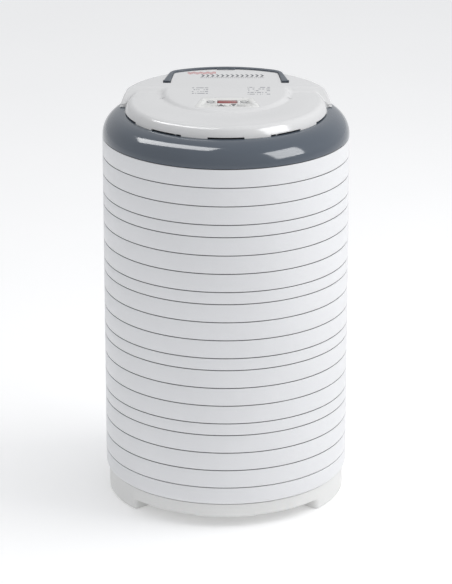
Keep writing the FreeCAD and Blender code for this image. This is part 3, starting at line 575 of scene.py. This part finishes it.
plain = {
    # The second number is the radius of each tray's nesting skirt, where the painted shade of the
    # seams is laid.
    "tray": tray_finish("tray_plastic", 193.2),
    "low_tray": tray_finish("low_tray_plastic", 187.6),
    "base": moulded("base_plastic", (0.765, 0.765, 0.755), (0.36, 0.52), 700.0, 0.00004),
    "ring": ring_finish(),
    "dome": dome_finish(),
    "handle": moulded("handle_plastic", (0.085, 0.10, 0.122), (0.28, 0.42), 800.0, 0.00004),
    "plate": moulded("plate_plastic", (0.55, 0.55, 0.54), (0.4, 0.55), 700.0, 0.00004),
    "fan": moulded("fan_plastic", (0.035, 0.036, 0.038), (0.4, 0.6), 900.0, 0.00005, 0.2),
    "black": moulded("black_plastic", (0.02, 0.02, 0.022), (0.35, 0.5), 900.0, 0.00004, 0.2),
    "rubber": moulded("soft_rubber", (0.03, 0.03, 0.032), (0.6, 0.8), 1100.0, 0.00008, 0.2),
    "steel": metal("screw_steel", (0.58, 0.58, 0.57), (0.25, 0.42)),
    "sheet": metal("bracket_steel", (0.56, 0.57, 0.58), (0.3, 0.5), (1, 14, 1)),
    "motor": metal("motor_metal", (0.6, 0.6, 0.6), (0.28, 0.46), (1, 1, 9)),
    "wire": metal("heater_wire", (0.34, 0.29, 0.25), (0.4, 0.6)),
    "can": metal("thermostat_metal", (0.64, 0.64, 0.63), (0.22, 0.38)),
    "brass": metal("bush_brass", (0.62, 0.44, 0.18), (0.3, 0.5)),
    "film": panel_finish(),
}


# --- base ------------------------------------------------------------------------------------

BASE_RADIUS = 192.0


def arch_space(bearing):
    """The space between the feet at the front or the back. Its upper corners are rounded, and it
    widens outwards so that the ends of the feet roll into their outer sides."""
    middle, half = math.radians(bearing), math.radians(50.0)
    high, soft, roll = 19.0, 9.0, 8.0
    roll_start = BASE_RADIUS - roll
    radii = [139.0, 165.0]
    radii += [roll_start + roll * math.sin(math.radians(15 * step)) for step in range(7)]
    radii.append(212.0)
    flare = []
    for radius in radii:
        past = max(min(radius, BASE_RADIUS) - roll_start, 0.0)
        flare.append(roll - math.sqrt(max(roll ** 2 - past ** 2, 0.0)))
    side = [(soft - soft * math.cos(a), high - soft + soft * math.sin(a))
            for a in (math.radians(9 * step) for step in range(11))]
    loops = []

    def station(angles, top):
        low = [(r * math.cos(a), r * math.sin(a), -6.0) for r, a in zip(radii, angles)]
        loops.append(low + [(x, y, top) for x, y, _ in reversed(low)])

    def leans(off):
        return [math.asin((off - f) / r) for r, f in zip(radii, flare)]

    for off, top in side:
        station([middle - half + lean for lean in leans(off)], top)
    for step in range(1, 40):
        angle = middle + (half - 0.09) * (step / 20 - 1)
        station([angle] * len(radii), high)
    for off, top in reversed(side):
        station([middle + half - lean for lean in leans(off)], top)
    verts, faces = loft(loops, caps=False)
    size = 2 * len(radii)
    for start in (0, len(verts) - size):
        for step in range(len(radii) - 1):
            low, other = start + step, start + size - 1 - step
            faces.append((low, low + 1, other - 1, other))
    return verts, faces


def base_pan():
    """The pan on two broad side feet, with soft edges."""
    radius, floor_z, top = BASE_RADIUS, 21.0, 40.0 - SEAM
    inner = radius - 42.0
    profile = [(0, floor_z, 0), (inner, floor_z, 0.6), (inner, 0.8, 1.2), (radius, 0.8, 3.0),
               (radius, top, 0.8), (radius - 2.5, top, 0.6), (radius - 2.5, floor_z + 2.5, 3.0),
               (0, floor_z + 2.5, 0)]
    item = made("base_pan_visual", turned(softened(profile, 0.5, 4), 320))
    carved(item, [joined(arch_space(-90.0), arch_space(90.0))])
    edge = item.modifiers.new("edge", "BEVEL")
    edge.width = 0.0022
    edge.segments = 3
    edge.limit_method = "ANGLE"
    edge.angle_limit = math.radians(48)
    edge.use_clamp_overlap = True
    apply_modifiers(item)
    extra = [sector(radius - 6, radius - 0.25, 14.2, -90, 17.2, 19.4, 0.5, 16)]
    rib = block(110, 0, floor_z - 2, 130, 2.4, 2.6, 0.6, 0.3)
    extra += [rotated(rib, 30 * number, "Z") for number in range(12)]
    add_part(item, joined(*extra))
    item.data.shade_smooth()
    item.data.set_sharp_from_angle(angle=math.radians(34))
    dressed(item, "base", plain["base"], "base_pan")


def add_part(item, part):
    """Add a closed part to a piece."""
    extra = made("extra", part)
    work = bmesh.new()
    work.from_mesh(item.data)
    work.from_mesh(extra.data)
    work.to_mesh(item.data)
    work.free()
    bpy.data.objects.remove(extra)


def foot_pads():
    reach = 171.0
    profile = [(0, 0.35, 0), (2.2, 0.35, 0.2), (2.9, 0), (6, 0), (6, 2.6), (0, 2.6, 0)]
    pad = turned(softened(profile, 0.5), 32)
    angles = [math.radians(bearing) for bearing in (-25, 0, 25, 155, 180, 205)]
    pads = [shifted(pad, reach * math.cos(a), reach * math.sin(a)) for a in angles]
    piece("foot_pads", joined(*pads), "base", plain["rubber"])


# --- trays -----------------------------------------------------------------------------------


def tray_parts(pitch, inset):
    """A tray: skirted wall, ribbed channel, slotted basket, lattice floor and collar."""
    rim = pitch - SEAM
    wall = TOWER - 2.5
    skirt_in, skirt_out = 191.6 - inset, 193.9 - inset
    foot, corner = [(TOWER, 0, 0.8)], [(wall, 2.5, 0.4)]
    if inset:
        foot = [(TOWER - inset * (1 - math.sin(a)), 9.0 * (1 - math.cos(a)), 0)
                for a in (math.radians(v) for v in range(0, 91, 10))]
        corner = [(wall, 2.5 + inset, 0), (wall - inset, 2.5, 0)]
    outer = softened([(skirt_in, -4), (skirt_out, -4), (skirt_out, 0, 0), *foot,
                      (TOWER, rim, 0.8), (wall, rim, 0.5), *corner, (skirt_in, 2.5, 0)], 0.4)
    first, last = 177.5, skirt_in + 0.8
    edges = (first, 181.0, last - 4.0, last)
    heights = (0.0, 5.5, pitch - 9.0, pitch - 6.0)

    def at(column, spokes, radius, bar, z, reach=None):
        """A corner beside a spoke, whose half width is given at its own or another radius."""
        lean = math.asin(bar / (reach or radius)) * (1 if column % 2 else -1)
        angle = math.radians(360.0 / spokes * (column // 2)) + lean
        return radius * math.cos(angle), radius * math.sin(angle), z

    def channel_place(column, row, side):
        return at(column, SPOKES, edges[row], 0.8, 2.5 * side)

    def basket_place(column, row, side):
        return at(column, SPOKES, first - 1.0 + 2.0 * side, 3.2, heights[row], first)

    def barred(column, row):
        return row != 1 or column % 2 == 0

    channel = pierced(SPOKES * 2, 3, barred, channel_place)
    basket = pierced(SPOKES * 2, 3, barred, basket_place)
    rings, ring_bar, opening = 9, 2.0, 36.5
    step = (176.6 - opening + ring_bar) / rings
    bounds = [33.5]
    for ring in range(rings):
        bounds += [opening + ring * step, opening + ring * step + step - ring_bar]
    bounds.append(177.0)

    def floor_place(column, row, side):
        return at(column, SPOKES * 2, bounds[row], 0.75, 2.4 * side)

    def floor_solid(column, row):
        every = 4 if bounds[row] < 66 else 2 if bounds[row] < 112 else 1
        return row % 2 == 0 or (column % 2 == 0 and (column // 2) % every == 0)

    floor = pierced(SPOKES * 4, len(bounds) - 1, floor_solid, floor_place)
    collar = turned(softened([(32, 0), (34.5, 0), (34.5, 5), (32, 5)], 0.5), 96)
    return joined(turned(outer), channel, basket, floor, collar)


def trays():
    patterns = {}
    for number in range(1, TRAY_COUNT + 1):
        name = f"tray_{number:02d}"
        pitch = tray_pitch(number)
        inset = 5.0 if number == TRAY_COUNT else 0.0
        if (pitch, inset) not in patterns:
            patterns[pitch, inset] = tray_parts(pitch, inset)
        part = shifted(patterns[pitch, inset], z=tray_level(number))
        piece(name, part, name, plain["low_tray" if inset else "tray"])


# --- head: shells ----------------------------------------------------------------------------


def head_ring():
    flange = TOWER - HEAD_ROUND
    shoulder = RING_TOP - HEAD_ROUND
    under = RING_TOP - 2.6
    profile = [(191.6, STACK_TOP - 4, 0.4), (193.9, STACK_TOP - 4, 0.4), (193.9, STACK_TOP, 0),
               (TOWER, STACK_TOP, 0.6), *arc(flange, shoulder, HEAD_ROUND, 1.5, 90, 28),
               (flange - 11, RING_TOP, 0.5), (flange - 11, under, 0.5), (flange, under, 0),
               *arc(flange, shoulder - 0.1, 33.4, 88, 2, 20), (194.4, STACK_TOP + 2.5, 0.4),
               (191.6, STACK_TOP + 2.5, 0.4)]
    parts = [turned(softened(profile, 0.4), 320)]
    boss = tube(2.0, 4.5, PLATE_TOP, under + 0.5, 0.3)
    parts += [shifted(boss, x, y) for x, y in around(6, 30, SCREW_CIRCLE)]
    piece("head_ring", joined(*parts), "head", plain["ring"])


def blend_high(a, b, width):
    """The higher of two heights, eased over a width where they meet."""
    near = max(width - abs(a - b), 0.0) / width
    return max(a, b) + near * near * width / 4


def blend_low(a, b, width):
    return -blend_high(-a, -b, width)


PANEL_FALL = 6.0 / 112.0
CHORD_Y = 57.0


def panel_height(y):
    return DECK - (CHORD_Y - y) * PANEL_FALL


def crown(radius):
    """Height of the low bulge that the head rises from: a raised rim and a full flank."""
    rim, flank, foot = 147.6, 156.08, 161.0
    rim_round, flank_round = 10.0, 36.0
    if radius <= rim:
        t = min(max((radius - 70) / 65, 0.0), 1.0)
        return 651.5 + 3.0 * t * t * (3 - 2 * t)
    if radius <= flank:
        return 644.5 + math.sqrt(rim_round ** 2 - (radius - rim) ** 2)
    if radius <= foot:
        return 630.72 + math.sqrt(flank_round ** 2 - (radius - 125.55) ** 2)
    return 636.97 - (radius - foot) * 26.0


def drum(radius):
    """Height of the raised rear: a flat deck, a rounded rim and a steep skirt."""
    edge, skirt, edge_round = 163.5, 167.45, 4.0
    if radius <= edge:
        return DECK
    if radius <= skirt:
        return DECK - edge_round + math.sqrt(edge_round ** 2 - (radius - edge) ** 2)
    return DECK - edge_round + 0.63 - (radius - skirt) * 19.63 / 3.55


def dome_height(x, y):
    """The raised rear ends at a sloping chord, and the panel runs forward from it as a tongue."""
    radius, drop = math.hypot(x, y), DECK - RING_TOP
    deck = blend_low(DECK, panel_height(y), 0.5)
    chord = DECK + 0.2 - (CHORD_Y - y) * drop / 38.0
    tongue = DECK - (math.hypot(x, y - 41.0) - 96.0) * drop / 26.0
    side = blend_high(chord, tongue, 7.0)
    upper = min(blend_low(deck, side, 3.4), drum(radius))
    return blend_high(upper, crown(radius), 3.0)


def dome_ray(angle, foot, count):
    """Points down the dome along a bearing, spaced by the length of the skin."""
    across, along = math.cos(angle), math.sin(angle)
    flank = 140
    points = []
    radius = 0.0
    while radius < 172.0:
        height = dome_height(radius * across, radius * along)
        if height < foot and radius > flank:
            break
        points.append((radius, height))
        radius += 0.5 if radius < flank else 0.06
    radius, height = points[-1]
    if height > foot + 0.01:
        points.append((radius + 0.02, foot))
    lengths = [0.0]
    for (r0, h0), (r1, h1) in zip(points, points[1:]):
        lengths.append(lengths[-1] + math.hypot(r1 - r0, h1 - h0))
    out = []
    place = 0
    for step in range(1, count + 1):
        want = lengths[-1] * step / count
        while place < len(lengths) - 2 and lengths[place + 1] < want:
            place += 1
        span = max(lengths[place + 1] - lengths[place], 1e-9)
        t = min((want - lengths[place]) / span, 1.0)
        (r0, h0), (r1, h1) = points[place:place + 2]
        radius = r0 + (r1 - r0) * t
        out.append((radius * across, radius * along, h0 + (h1 - h0) * t))
    return out


KEYS = {"mode_button": (-24.7, -16.4), "start_button": (28.7, -16.4),
        "up_button": (-7.9, -33.0), "down_button": (11.9, -33.0)}
PANEL_X = 2.0
OVERLAY_Y = -20.0
WINDOW = (31.8, 14.6, PANEL_X, -16.4)
SLOT_HALF = 10.3
SLOT_HEIGHT = 2.6
SLOT_STEP = 36


def on_panel(x, y):
    """The matrix that stands a part square on the sloping panel."""
    tilt = Matrix.Rotation(math.atan(PANEL_FALL), 4, "X")
    return Matrix.Translation((x, y, panel_height(y))) @ tilt


def in_slot(bearing):
    return abs((bearing + 90.0 + SLOT_STEP / 2) % SLOT_STEP - SLOT_STEP / 2) < SLOT_HALF


def overlay_outline(margin):
    points = [(-40 - margin, 24 + margin), (-52 - margin, -23 - margin),
              (52 + margin, -23 - margin), (40 + margin, 24 + margin)]
    return softened(points, 5.0, 5)


BAIL_LEG = 95.1
BAIL_HUB = (92.0, 657.0)
BAIL_BED = DECK - 4.0
BAIL_ROOT_HALF = 5.7
BAIL_HALF = 3.6
BAIL_PLAY = 0.7
HINGE_Y = 90.0
HINGE_CUP = (13.4, 17.8)


def bail_path():
    """Stations of the bail from its right root round to the left. Each is x, y, the outward
    direction's x and y, and half the width."""
    lean = math.radians(8.0)
    out = (math.cos(lean), math.sin(lean))
    root, corner, bend, arc_radius = (95.8, 87.0), (67.1, 133.0), 22.0, 171.0
    knee = (corner[0] + bend * out[0], corner[1] + bend * out[1])
    stations = []
    for step in range(13):
        t = step / 12
        stations.append((root[0] + (knee[0] - root[0]) * t, root[1] + (knee[1] - root[1]) * t,
                         *out, BAIL_ROOT_HALF - (BAIL_ROOT_HALF - BAIL_HALF) * t))
    turn = math.atan2(corner[1], corner[0])
    for step in range(1, 13):
        angle = lean + (turn - lean) * step / 12
        way = (math.cos(angle), math.sin(angle))
        stations.append((corner[0] + bend * way[0], corner[1] + bend * way[1], *way, BAIL_HALF))
    bearings = [turn + (math.pi / 2 - turn) * step / 20 for step in range(1, 21)]
    bearings += [math.acos(x / arc_radius) for x in (15.6, 15.8)]
    for angle in sorted(bearings):
        way = (math.cos(angle), math.sin(angle))
        stations.append((arc_radius * way[0], arc_radius * way[1], *way, BAIL_HALF))
    mirrored = [(-x, y, -ox, oy, half) for x, y, ox, oy, half in reversed(stations[:-1])]
    return stations + mirrored


def along_bail(section, stations):
    """A skin whose cross section, from section(x, half width), follows the bail."""
    return loft([[(x + ox * w, y + oy * w, z) for w, z in section(x, half)]
                 for x, y, ox, oy, half in stations])


def groove_section(x, half):
    """The room cut for the bail, wider towards the middle of the dome at the thumb block."""
    outer = half + BAIL_PLAY
    inner = 10.2 if abs(x) < 15.7 else outer
    low, high = BAIL_BED - BAIL_PLAY, DECK + 8
    return [(-inner, low), (outer, low), (outer, high), (-inner, high)]


def liner_section(_, half):
    """The trough under the dome's skin that closes the groove."""
    deep, wall, rim = BAIL_BED - 3.3, half + 3.1, DECK - 2.0
    room, bed = half + BAIL_PLAY, BAIL_BED - BAIL_PLAY
    return [(-wall, deep), (wall, deep), (wall, rim), (room, rim), (room, bed),
            (-room, bed), (-room, rim), (-wall, rim)]


def bail_section(_, half):
    low, high = BAIL_BED, BAIL_BED + 6
    return softened([(-half, low, 0.6), (half, low, 0.6), (half, high, 1.7), (-half, high, 1.7)],
                    1, 4)


def dome_cover():
    rays = 130
    step = 0.75
    bearings = [index * step for index in range(int(360 / step))]
    for centre in range(-90, 270, SLOT_STEP):
        for side in (-SLOT_HALF, SLOT_HALF):
            bearings += [(centre + side + nudge) % 360 for nudge in (-0.04, 0.04)]
    for ear in (6.3, 6.45, 6.6, 6.75, 6.9, 7.1):
        bearings += [ear, 180 - ear]
    bearings = sorted(set(round(b, 3) for b in bearings))
    verts = [(0.0, 0.0, dome_height(0, 0))]
    for bearing in bearings:
        foot = RING_TOP + (SLOT_HEIGHT if in_slot(bearing) else 0.15)
        verts += dome_ray(math.radians(bearing), foot, rays)
    faces = []
    count = len(bearings)
    for index in range(count):
        here, after = 1 + index * rays, 1 + ((index + 1) % count) * rays
        faces.append((0, here, after))
        for level in range(rays - 1):
            faces.append((here + level, here + level + 1, after + level + 1, after + level))
    item = made("dome_cover_visual", (verts, faces), 60)
    shell = item.modifiers.new("shell", "SOLIDIFY")
    shell.thickness = 0.0026
    shell.offset = -1.0
    apply_modifiers(item)
    carved(item, dome_cutters())
    add_part(item, joined(*dome_fittings()))
    item.data.shade_smooth()
    item.data.set_sharp_from_angle(angle=math.radians(50))
    dressed(item, "head", plain["dome"], "dome_cover")


def panel_holes(play, key_radius, low, high, corner):
    """The holes for the display and the keys, square to the panel."""
    length, width, x, y = WINDOW
    window = block(0, 0, low, length + play, width + play, high - low, corner, 0.01)
    key = pin(key_radius, low, high, 0.01, 48)
    return joined(moved(window, on_panel(x, y)),
                  *(moved(key, on_panel(*place)) for place in KEYS.values()))


def dome_cutters():
    recess = moved(slab(overlay_outline(0.15), -0.5, 6, 0.01), on_panel(PANEL_X, OVERLAY_Y))
    bore = rotated(pin(6.2, -20, 20, 0.01, 32), 90, "X")
    holes = joined(panel_holes(0.4, 6.65, -9, 8, 1.6), shifted(bore, 0, 168, CORD_Z))
    cups = [block(side, HINGE_Y, DECK - 8, *HINGE_CUP, 14, 1.0, 0.01)
            for side in (-BAIL_LEG, BAIL_LEG)]
    return [recess, holes, along_bail(groove_section, bail_path()), joined(*cups)]


def dome_fittings():
    """Groove liner, hinge cups, screw bosses and the posts of the control board."""
    extra = []
    for side in (-1, 1):
        bed = [(side * x, y, side * ox, oy, half) for x, y, ox, oy, half in bail_path()[3:22]]
        extra.append(along_bail(liner_section, bed))
    outside, rim = [size + 4.0 for size in HINGE_CUP], DECK - 1.8
    levels = ((outside, DECK - 11.5), (outside, rim), (HINGE_CUP, rim), (HINGE_CUP, DECK - 9.5))
    cup = loft([[(*point, z) for point in soft_rectangle(*size, 1.2)] for size, z in levels])
    extra += [shifted(cup, side, HINGE_Y) for side in (-BAIL_LEG, BAIL_LEG)]
    for x, y in around(6, 0, SCREW_CIRCLE):
        top = dome_height(x * 1.03, y * 1.03) - 2.2
        extra.append(shifted(tube(1.45, 4.0, RING_TOP + 2.9, top, 0.2), x, y))
    post = tube(1.1, 3.2, -9, -1.2, 0.2)
    extra += [moved(post, on_panel(PANEL_X + x, y)) for x in (-37, 37) for y in (-41, -3)]
    return extra


# --- head: controls --------------------------------------------------------------------------


def controls():
    sheet = moved(slab(overlay_outline(0.0), -0.45, 0.06, 0.05), on_panel(PANEL_X, OVERLAY_Y))
    item = carved(made("control_overlay_visual", sheet), [panel_holes(0.3, 6.6, -4, 4, 1.5)])
    dressed(item, "head", plain["film"], "control_overlay")
    length, width, x, y = WINDOW
    lens = moved(block(0, 0, -2.2, length, width, 2.3, 1.4, 0.3), on_panel(x, y))
    piece("display_window", lens, "head", lens_finish())
    profile = softened([(0, -4.15, 0), (1.6, -4.15, 0.3), (1.6, -3.8, 0), (7.6, -3.8, 0.3),
                        (7.6, -3.0, 0.3), (6.3, -3.0, 0), (6.3, 0.4, 0.9), (0, 0.25, 0)], 0.3, 4)
    cap = turned(profile, 64)
    for name, place in KEYS.items():
        piece(name, moved(cap, on_panel(*place)), name, key_finish(name, *place))


def lens_finish():
    """Dark red lens with the unlit segments of four digits just showing."""
    lens = Surface("display_lens", (0.20, 0.018, 0.02), 0.12, coat=0.4)
    lens.shade(lens.noise(300.0, 2.0), 0.85, 1.0)
    digit = 6.7
    u = (lens.x - PANEL_X + 2 * digit).cycle(digit) - digit / 2
    v = lens.y - WINDOW[3]
    bars = [(0, y, 1.5, 0.42) for y in (4.0, 0, -4.0)]
    bars += [(x, y, 0.42, 1.55) for y in (2.0, -2.0) for x in (-1.9, 1.9)]
    segments = None
    for x, y, half_x, half_y in bars:
        bar = u.within(x, half_x, 0.2) * v.within(y, half_y, 0.2)
        segments = bar if segments is None else segments.either(bar)
    lens.tint(segments * lens.x.within(PANEL_X, 13.2), (0.42, 0.06, 0.055))
    lens.gloss(lens.noise(90.0, 3.0), 0.1, 0.18)
    lens.bump(lens.noise(800.0, 2.0), 0.15, 0.00002)
    return lens.done()


def key_finish(name, cx, cy):
    """A pale key with a printed ring and its own generic sign."""
    key = Surface(name + "_finish", (0.72, 0.72, 0.71), 0.26, coat=0.2)
    key.shade(key.noise(1100.0, 1.0), 0.95, 1.0)
    key.gloss(key.noise(200.0, 3.0), 0.22, 0.34)
    key.bump(key.noise(1000.0, 2.0), 0.3, 0.00002)
    u, v = key.x - cx, key.y - cy
    radius = (u * u + v * v).do("SQRT")
    if name in ("up_button", "down_button"):
        way = 1.0 if name == "up_button" else -1.0
        slope = (v * way) * -0.5 + 2.9
        sign = (slope - abs(u)).do("MULTIPLY", 4.0, clamp=True) * v.within(0, 5.0)
        sides = abs(u).do("GREATER_THAN", 4.4)
        key.tint(radius.within(5.6, 0.35) * sides, (0.10, 0.10, 0.11))
        key.tint(sign, (0.03, 0.03, 0.035))
    else:
        bars = (v + 1.7).cycle(3.4).within(1.7, 0.75)
        bars = bars * abs(u).within(0, 3.4) * abs(v).within(0, 3.2)
        key.tint(radius.within(5.3, 0.75).either(bars), (0.05, 0.055, 0.065))
    return key.done()


# --- head: handle ----------------------------------------------------------------------------


def handle():
    """The bail with its ribbed thumb block and knuckles, and its hinge pins."""
    thumb = block(0, 165.4, BAIL_BED, 30, 7.8, 5.4, 1.2, 0.8)
    parts = [along_bail(bail_section, bail_path()), thumb]
    for number in range(5):
        parts.append(block(0, 162.6 + 1.3 * number, BAIL_BED + 5, 26, 0.6, 0.75, 0.2, 0.2))
    knuckle = rotated(tube(2.1, 4.8, -BAIL_ROOT_HALF, BAIL_ROOT_HALF, 0.6), 90, "Y")
    rod = rotated(pin(2.0, -8.6, 8.6, 0.4), 90, "Y")
    parts += [shifted(knuckle, side, *BAIL_HUB) for side in (-BAIL_LEG, BAIL_LEG)]
    pins = [shifted(rod, side, *BAIL_HUB) for side in (-BAIL_LEG, BAIL_LEG)]
    piece("handle", joined(*parts), "handle", plain["handle"], 50)
    piece("handle_pins", joined(*pins), "head", plain["steel"])


# --- head: inside ----------------------------------------------------------------------------


def inside():
    """The working parts in the head that get a shape of their own."""
    turns, per_turn, centre, coil = 96, 12, 96.0, 3.4
    path = []
    for step in range(turns * per_turn):
        angle = 2 * math.pi * step / (turns * per_turn)
        phase = 2 * math.pi * step / per_turn
        radius = centre + coil * math.cos(phase)
        path.append((radius * math.cos(angle), radius * math.sin(angle),
                     PLATE_TOP + 10.5 + coil * math.sin(phase)))
    winding = wire(path, 0.42, 6)
    piece("heater_coil", winding, "head", plain["wire"], 80)
    sensor = [pin(8, 0, 4.2, 0.5, 40), pin(6.6, 4, 9.2, 0.6, 40),
              block(0, 0, 2.6, 15.6, 4.0, 0.8, 0.5, 0.2)]
    sensor += [block(side, 0, 9, 2.6, 0.8, 1.0, 0.2, 0.1) for side in (-3.2, 3.2)]
    piece("thermostat", shifted(joined(*sensor), 122, 44, PLATE_TOP), "head",
          plain["can"])
    link = joined(pin(2.2, 2.5, 13.5, 0.7, 32), pin(0.5, 0.0, 16.0, 0.1, 12),
                  pin(1.4, 1.4, 14.6, 0.5, 24))
    piece("thermal_fuse", shifted(rotated(link, 90, "Y"), -130, -44, PLATE_TOP + 2.2), "head",
          plain["can"])
    outline = softened([(3.7, 0, 0.4), (6, 0, 0.5), (6, 21.2, 0.2), (8.5, 21.2, 0.4),
                        (8.5, 24.2, 1.2), (3.7, 24.2, 0.8)], 0.3, 4)
    bush = shifted(rotated(turned(outline, 48), -90, "X"), 0, 150, CORD_Z)
    piece("cord_gland", bush, "head", plain["rubber"])
    piece("motor_shaft", pin(3.0, 607.5, 642.0, 0.5, 32), "fan", plain["steel"])


def inner_finish():
    """Materials of the CAD nodes that stay."""
    board = Surface("board_laminate", (0.02, 0.13, 0.05), 0.35)
    board.shade(board.noise(400.0, 2.0), 0.75, 1.0)
    track = (board.x + board.y * 0.2).cycle(3.1).within(1.5, 0.28, 0.15)
    board.tint(track * board.noise(120.0, 1.0).do("GREATER_THAN", 0.5), (0.05, 0.22, 0.09))
    board.gloss(board.noise(200.0, 2.0), 0.28, 0.45)
    board.bump(track, 0.3, 0.00003)
    mica = Surface("mica_board", (0.52, 0.45, 0.33), 0.5)
    mica.shade(mica.noise(300.0, 4.0, 0.7), 0.7, 1.0)
    mica.shade(mica.noise(40.0, 3.0), 0.85, 1.0)
    mica.gloss(mica.noise(500.0, 3.0), 0.35, 0.7)
    mica.bump(mica.noise(700.0, 3.0, 0.7), 0.4, 0.00005)
    finishes = {
        "display_module": plain["black"], "tact_switches": plain["black"],
        "control_board": board.done(), "heater_frame": mica.done(),
        "lower_plate": plain["plate"], "fan_guard": plain["plate"], "fan_impeller": plain["fan"],
        "motor_bracket": plain["sheet"], "motor_body": plain["motor"],
        "shaft_bush": plain["brass"],
    }
    for name in ("board_screws", "plate_screws", "dome_screws", "bracket_screws", "motor_bolts"):
        finishes[name] = plain["steel"]
    for name, material in finishes.items():
        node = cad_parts[name]
        node.data.materials.clear()
        node.data.materials.append(material)


# --- stage -----------------------------------------------------------------------------------


def stage_floor():
    """A wide pale floor, in metres."""
    verts = [(x, y, -0.0002) for y in (-9.0, 12.0) for x in (-10.0, 10.0)]
    mesh = bpy.data.meshes.new("floor")
    mesh.from_pydata(verts, [], [(0, 1, 3, 2)])
    item = bpy.data.objects.new("floor", mesh)
    bpy.context.scene.collection.objects.link(item)
    paper = Surface("floor_paper", (0.90, 0.90, 0.90), 0.8)
    paper.shade(paper.noise(3.0, 2.0), 0.99, 1.0)
    paper.shader.inputs["Emission Color"].default_value = (1, 1, 1, 1)
    paper.shader.inputs["Emission Strength"].default_value = 0.2
    mesh.materials.append(paper.done())


def toward(azimuth, elevation):
    """A direction by its azimuth, from -Y towards +X, and its elevation."""
    a, e = math.radians(azimuth), math.radians(elevation)
    return Vector((math.sin(a) * math.cos(e), -math.cos(a) * math.cos(e), math.sin(e)))


def area_light(name, first, last, distance, tall, power, diffuse=True):
    """A soft box that runs between two directions seen from the head. It lights the surfaces,
    or else it shows in them alone."""
    aim = Vector((0, 0, 0.6))
    start, end = toward(*first) * distance, toward(*last) * distance
    along = (end - start).normalized()
    back = (start + end).normalized()
    data = bpy.data.lights.new(name, "AREA")
    data.shape = "RECTANGLE"
    data.size, data.size_y = (end - start).length, tall
    data.energy = power
    item = bpy.data.objects.new(name, data)
    turn = Matrix((along, back.cross(along), back)).transposed().to_4x4()
    item.matrix_world = Matrix.Translation(aim + (start + end) / 2) @ turn
    item.visible_diffuse = diffuse
    item.visible_glossy = not diffuse
    bpy.context.scene.collection.objects.link(item)


def studio():
    scene = bpy.context.scene
    scene.view_settings.view_transform = "Standard"
    world = bpy.data.worlds.new("studio")
    scene.world = world
    world.use_nodes = True
    sky = world.node_tree.nodes["Background"]
    sky.inputs[0].default_value = (0.97, 0.98, 1.0, 1)
    sky.inputs[1].default_value = 0.64
    area_light("key_card", (43, 28), (76, 28), 1.9, 1.1, 24, diffuse=False)
    area_light("streak_card", (-108, 38), (-24, 72), 1.7, 0.5, 19, diffuse=False)
    area_light("key", (60, 30), (105, 30), 2.2, 1.6, 18)
    area_light("fill", (40, 66), (150, 66), 2.6, 1.6, 19)
    stage_floor()
    data = bpy.data.cameras.new("camera")
    focal_pixels, frame_pixels, sensor = 3080.0, 584.0, 36.0
    data.lens = focal_pixels / frame_pixels * sensor
    data.sensor_width = sensor
    data.clip_end = 50.0
    camera = bpy.data.objects.new("camera", data)
    elevation, distance, height = math.radians(19.46), 5.0, 0.331
    back = Vector((0, -math.cos(elevation), math.sin(elevation)))
    camera.location = Vector((0, 0, height)) + back * distance
    camera.rotation_mode = "QUATERNION"
    camera.rotation_quaternion = back.to_track_quat("Z", "Y")
    scene.collection.objects.link(camera)
    scene.camera = camera


base_pan()
foot_pads()
trays()
head_ring()
dome_cover()
controls()
handle()
inside()
inner_finish()
studio()
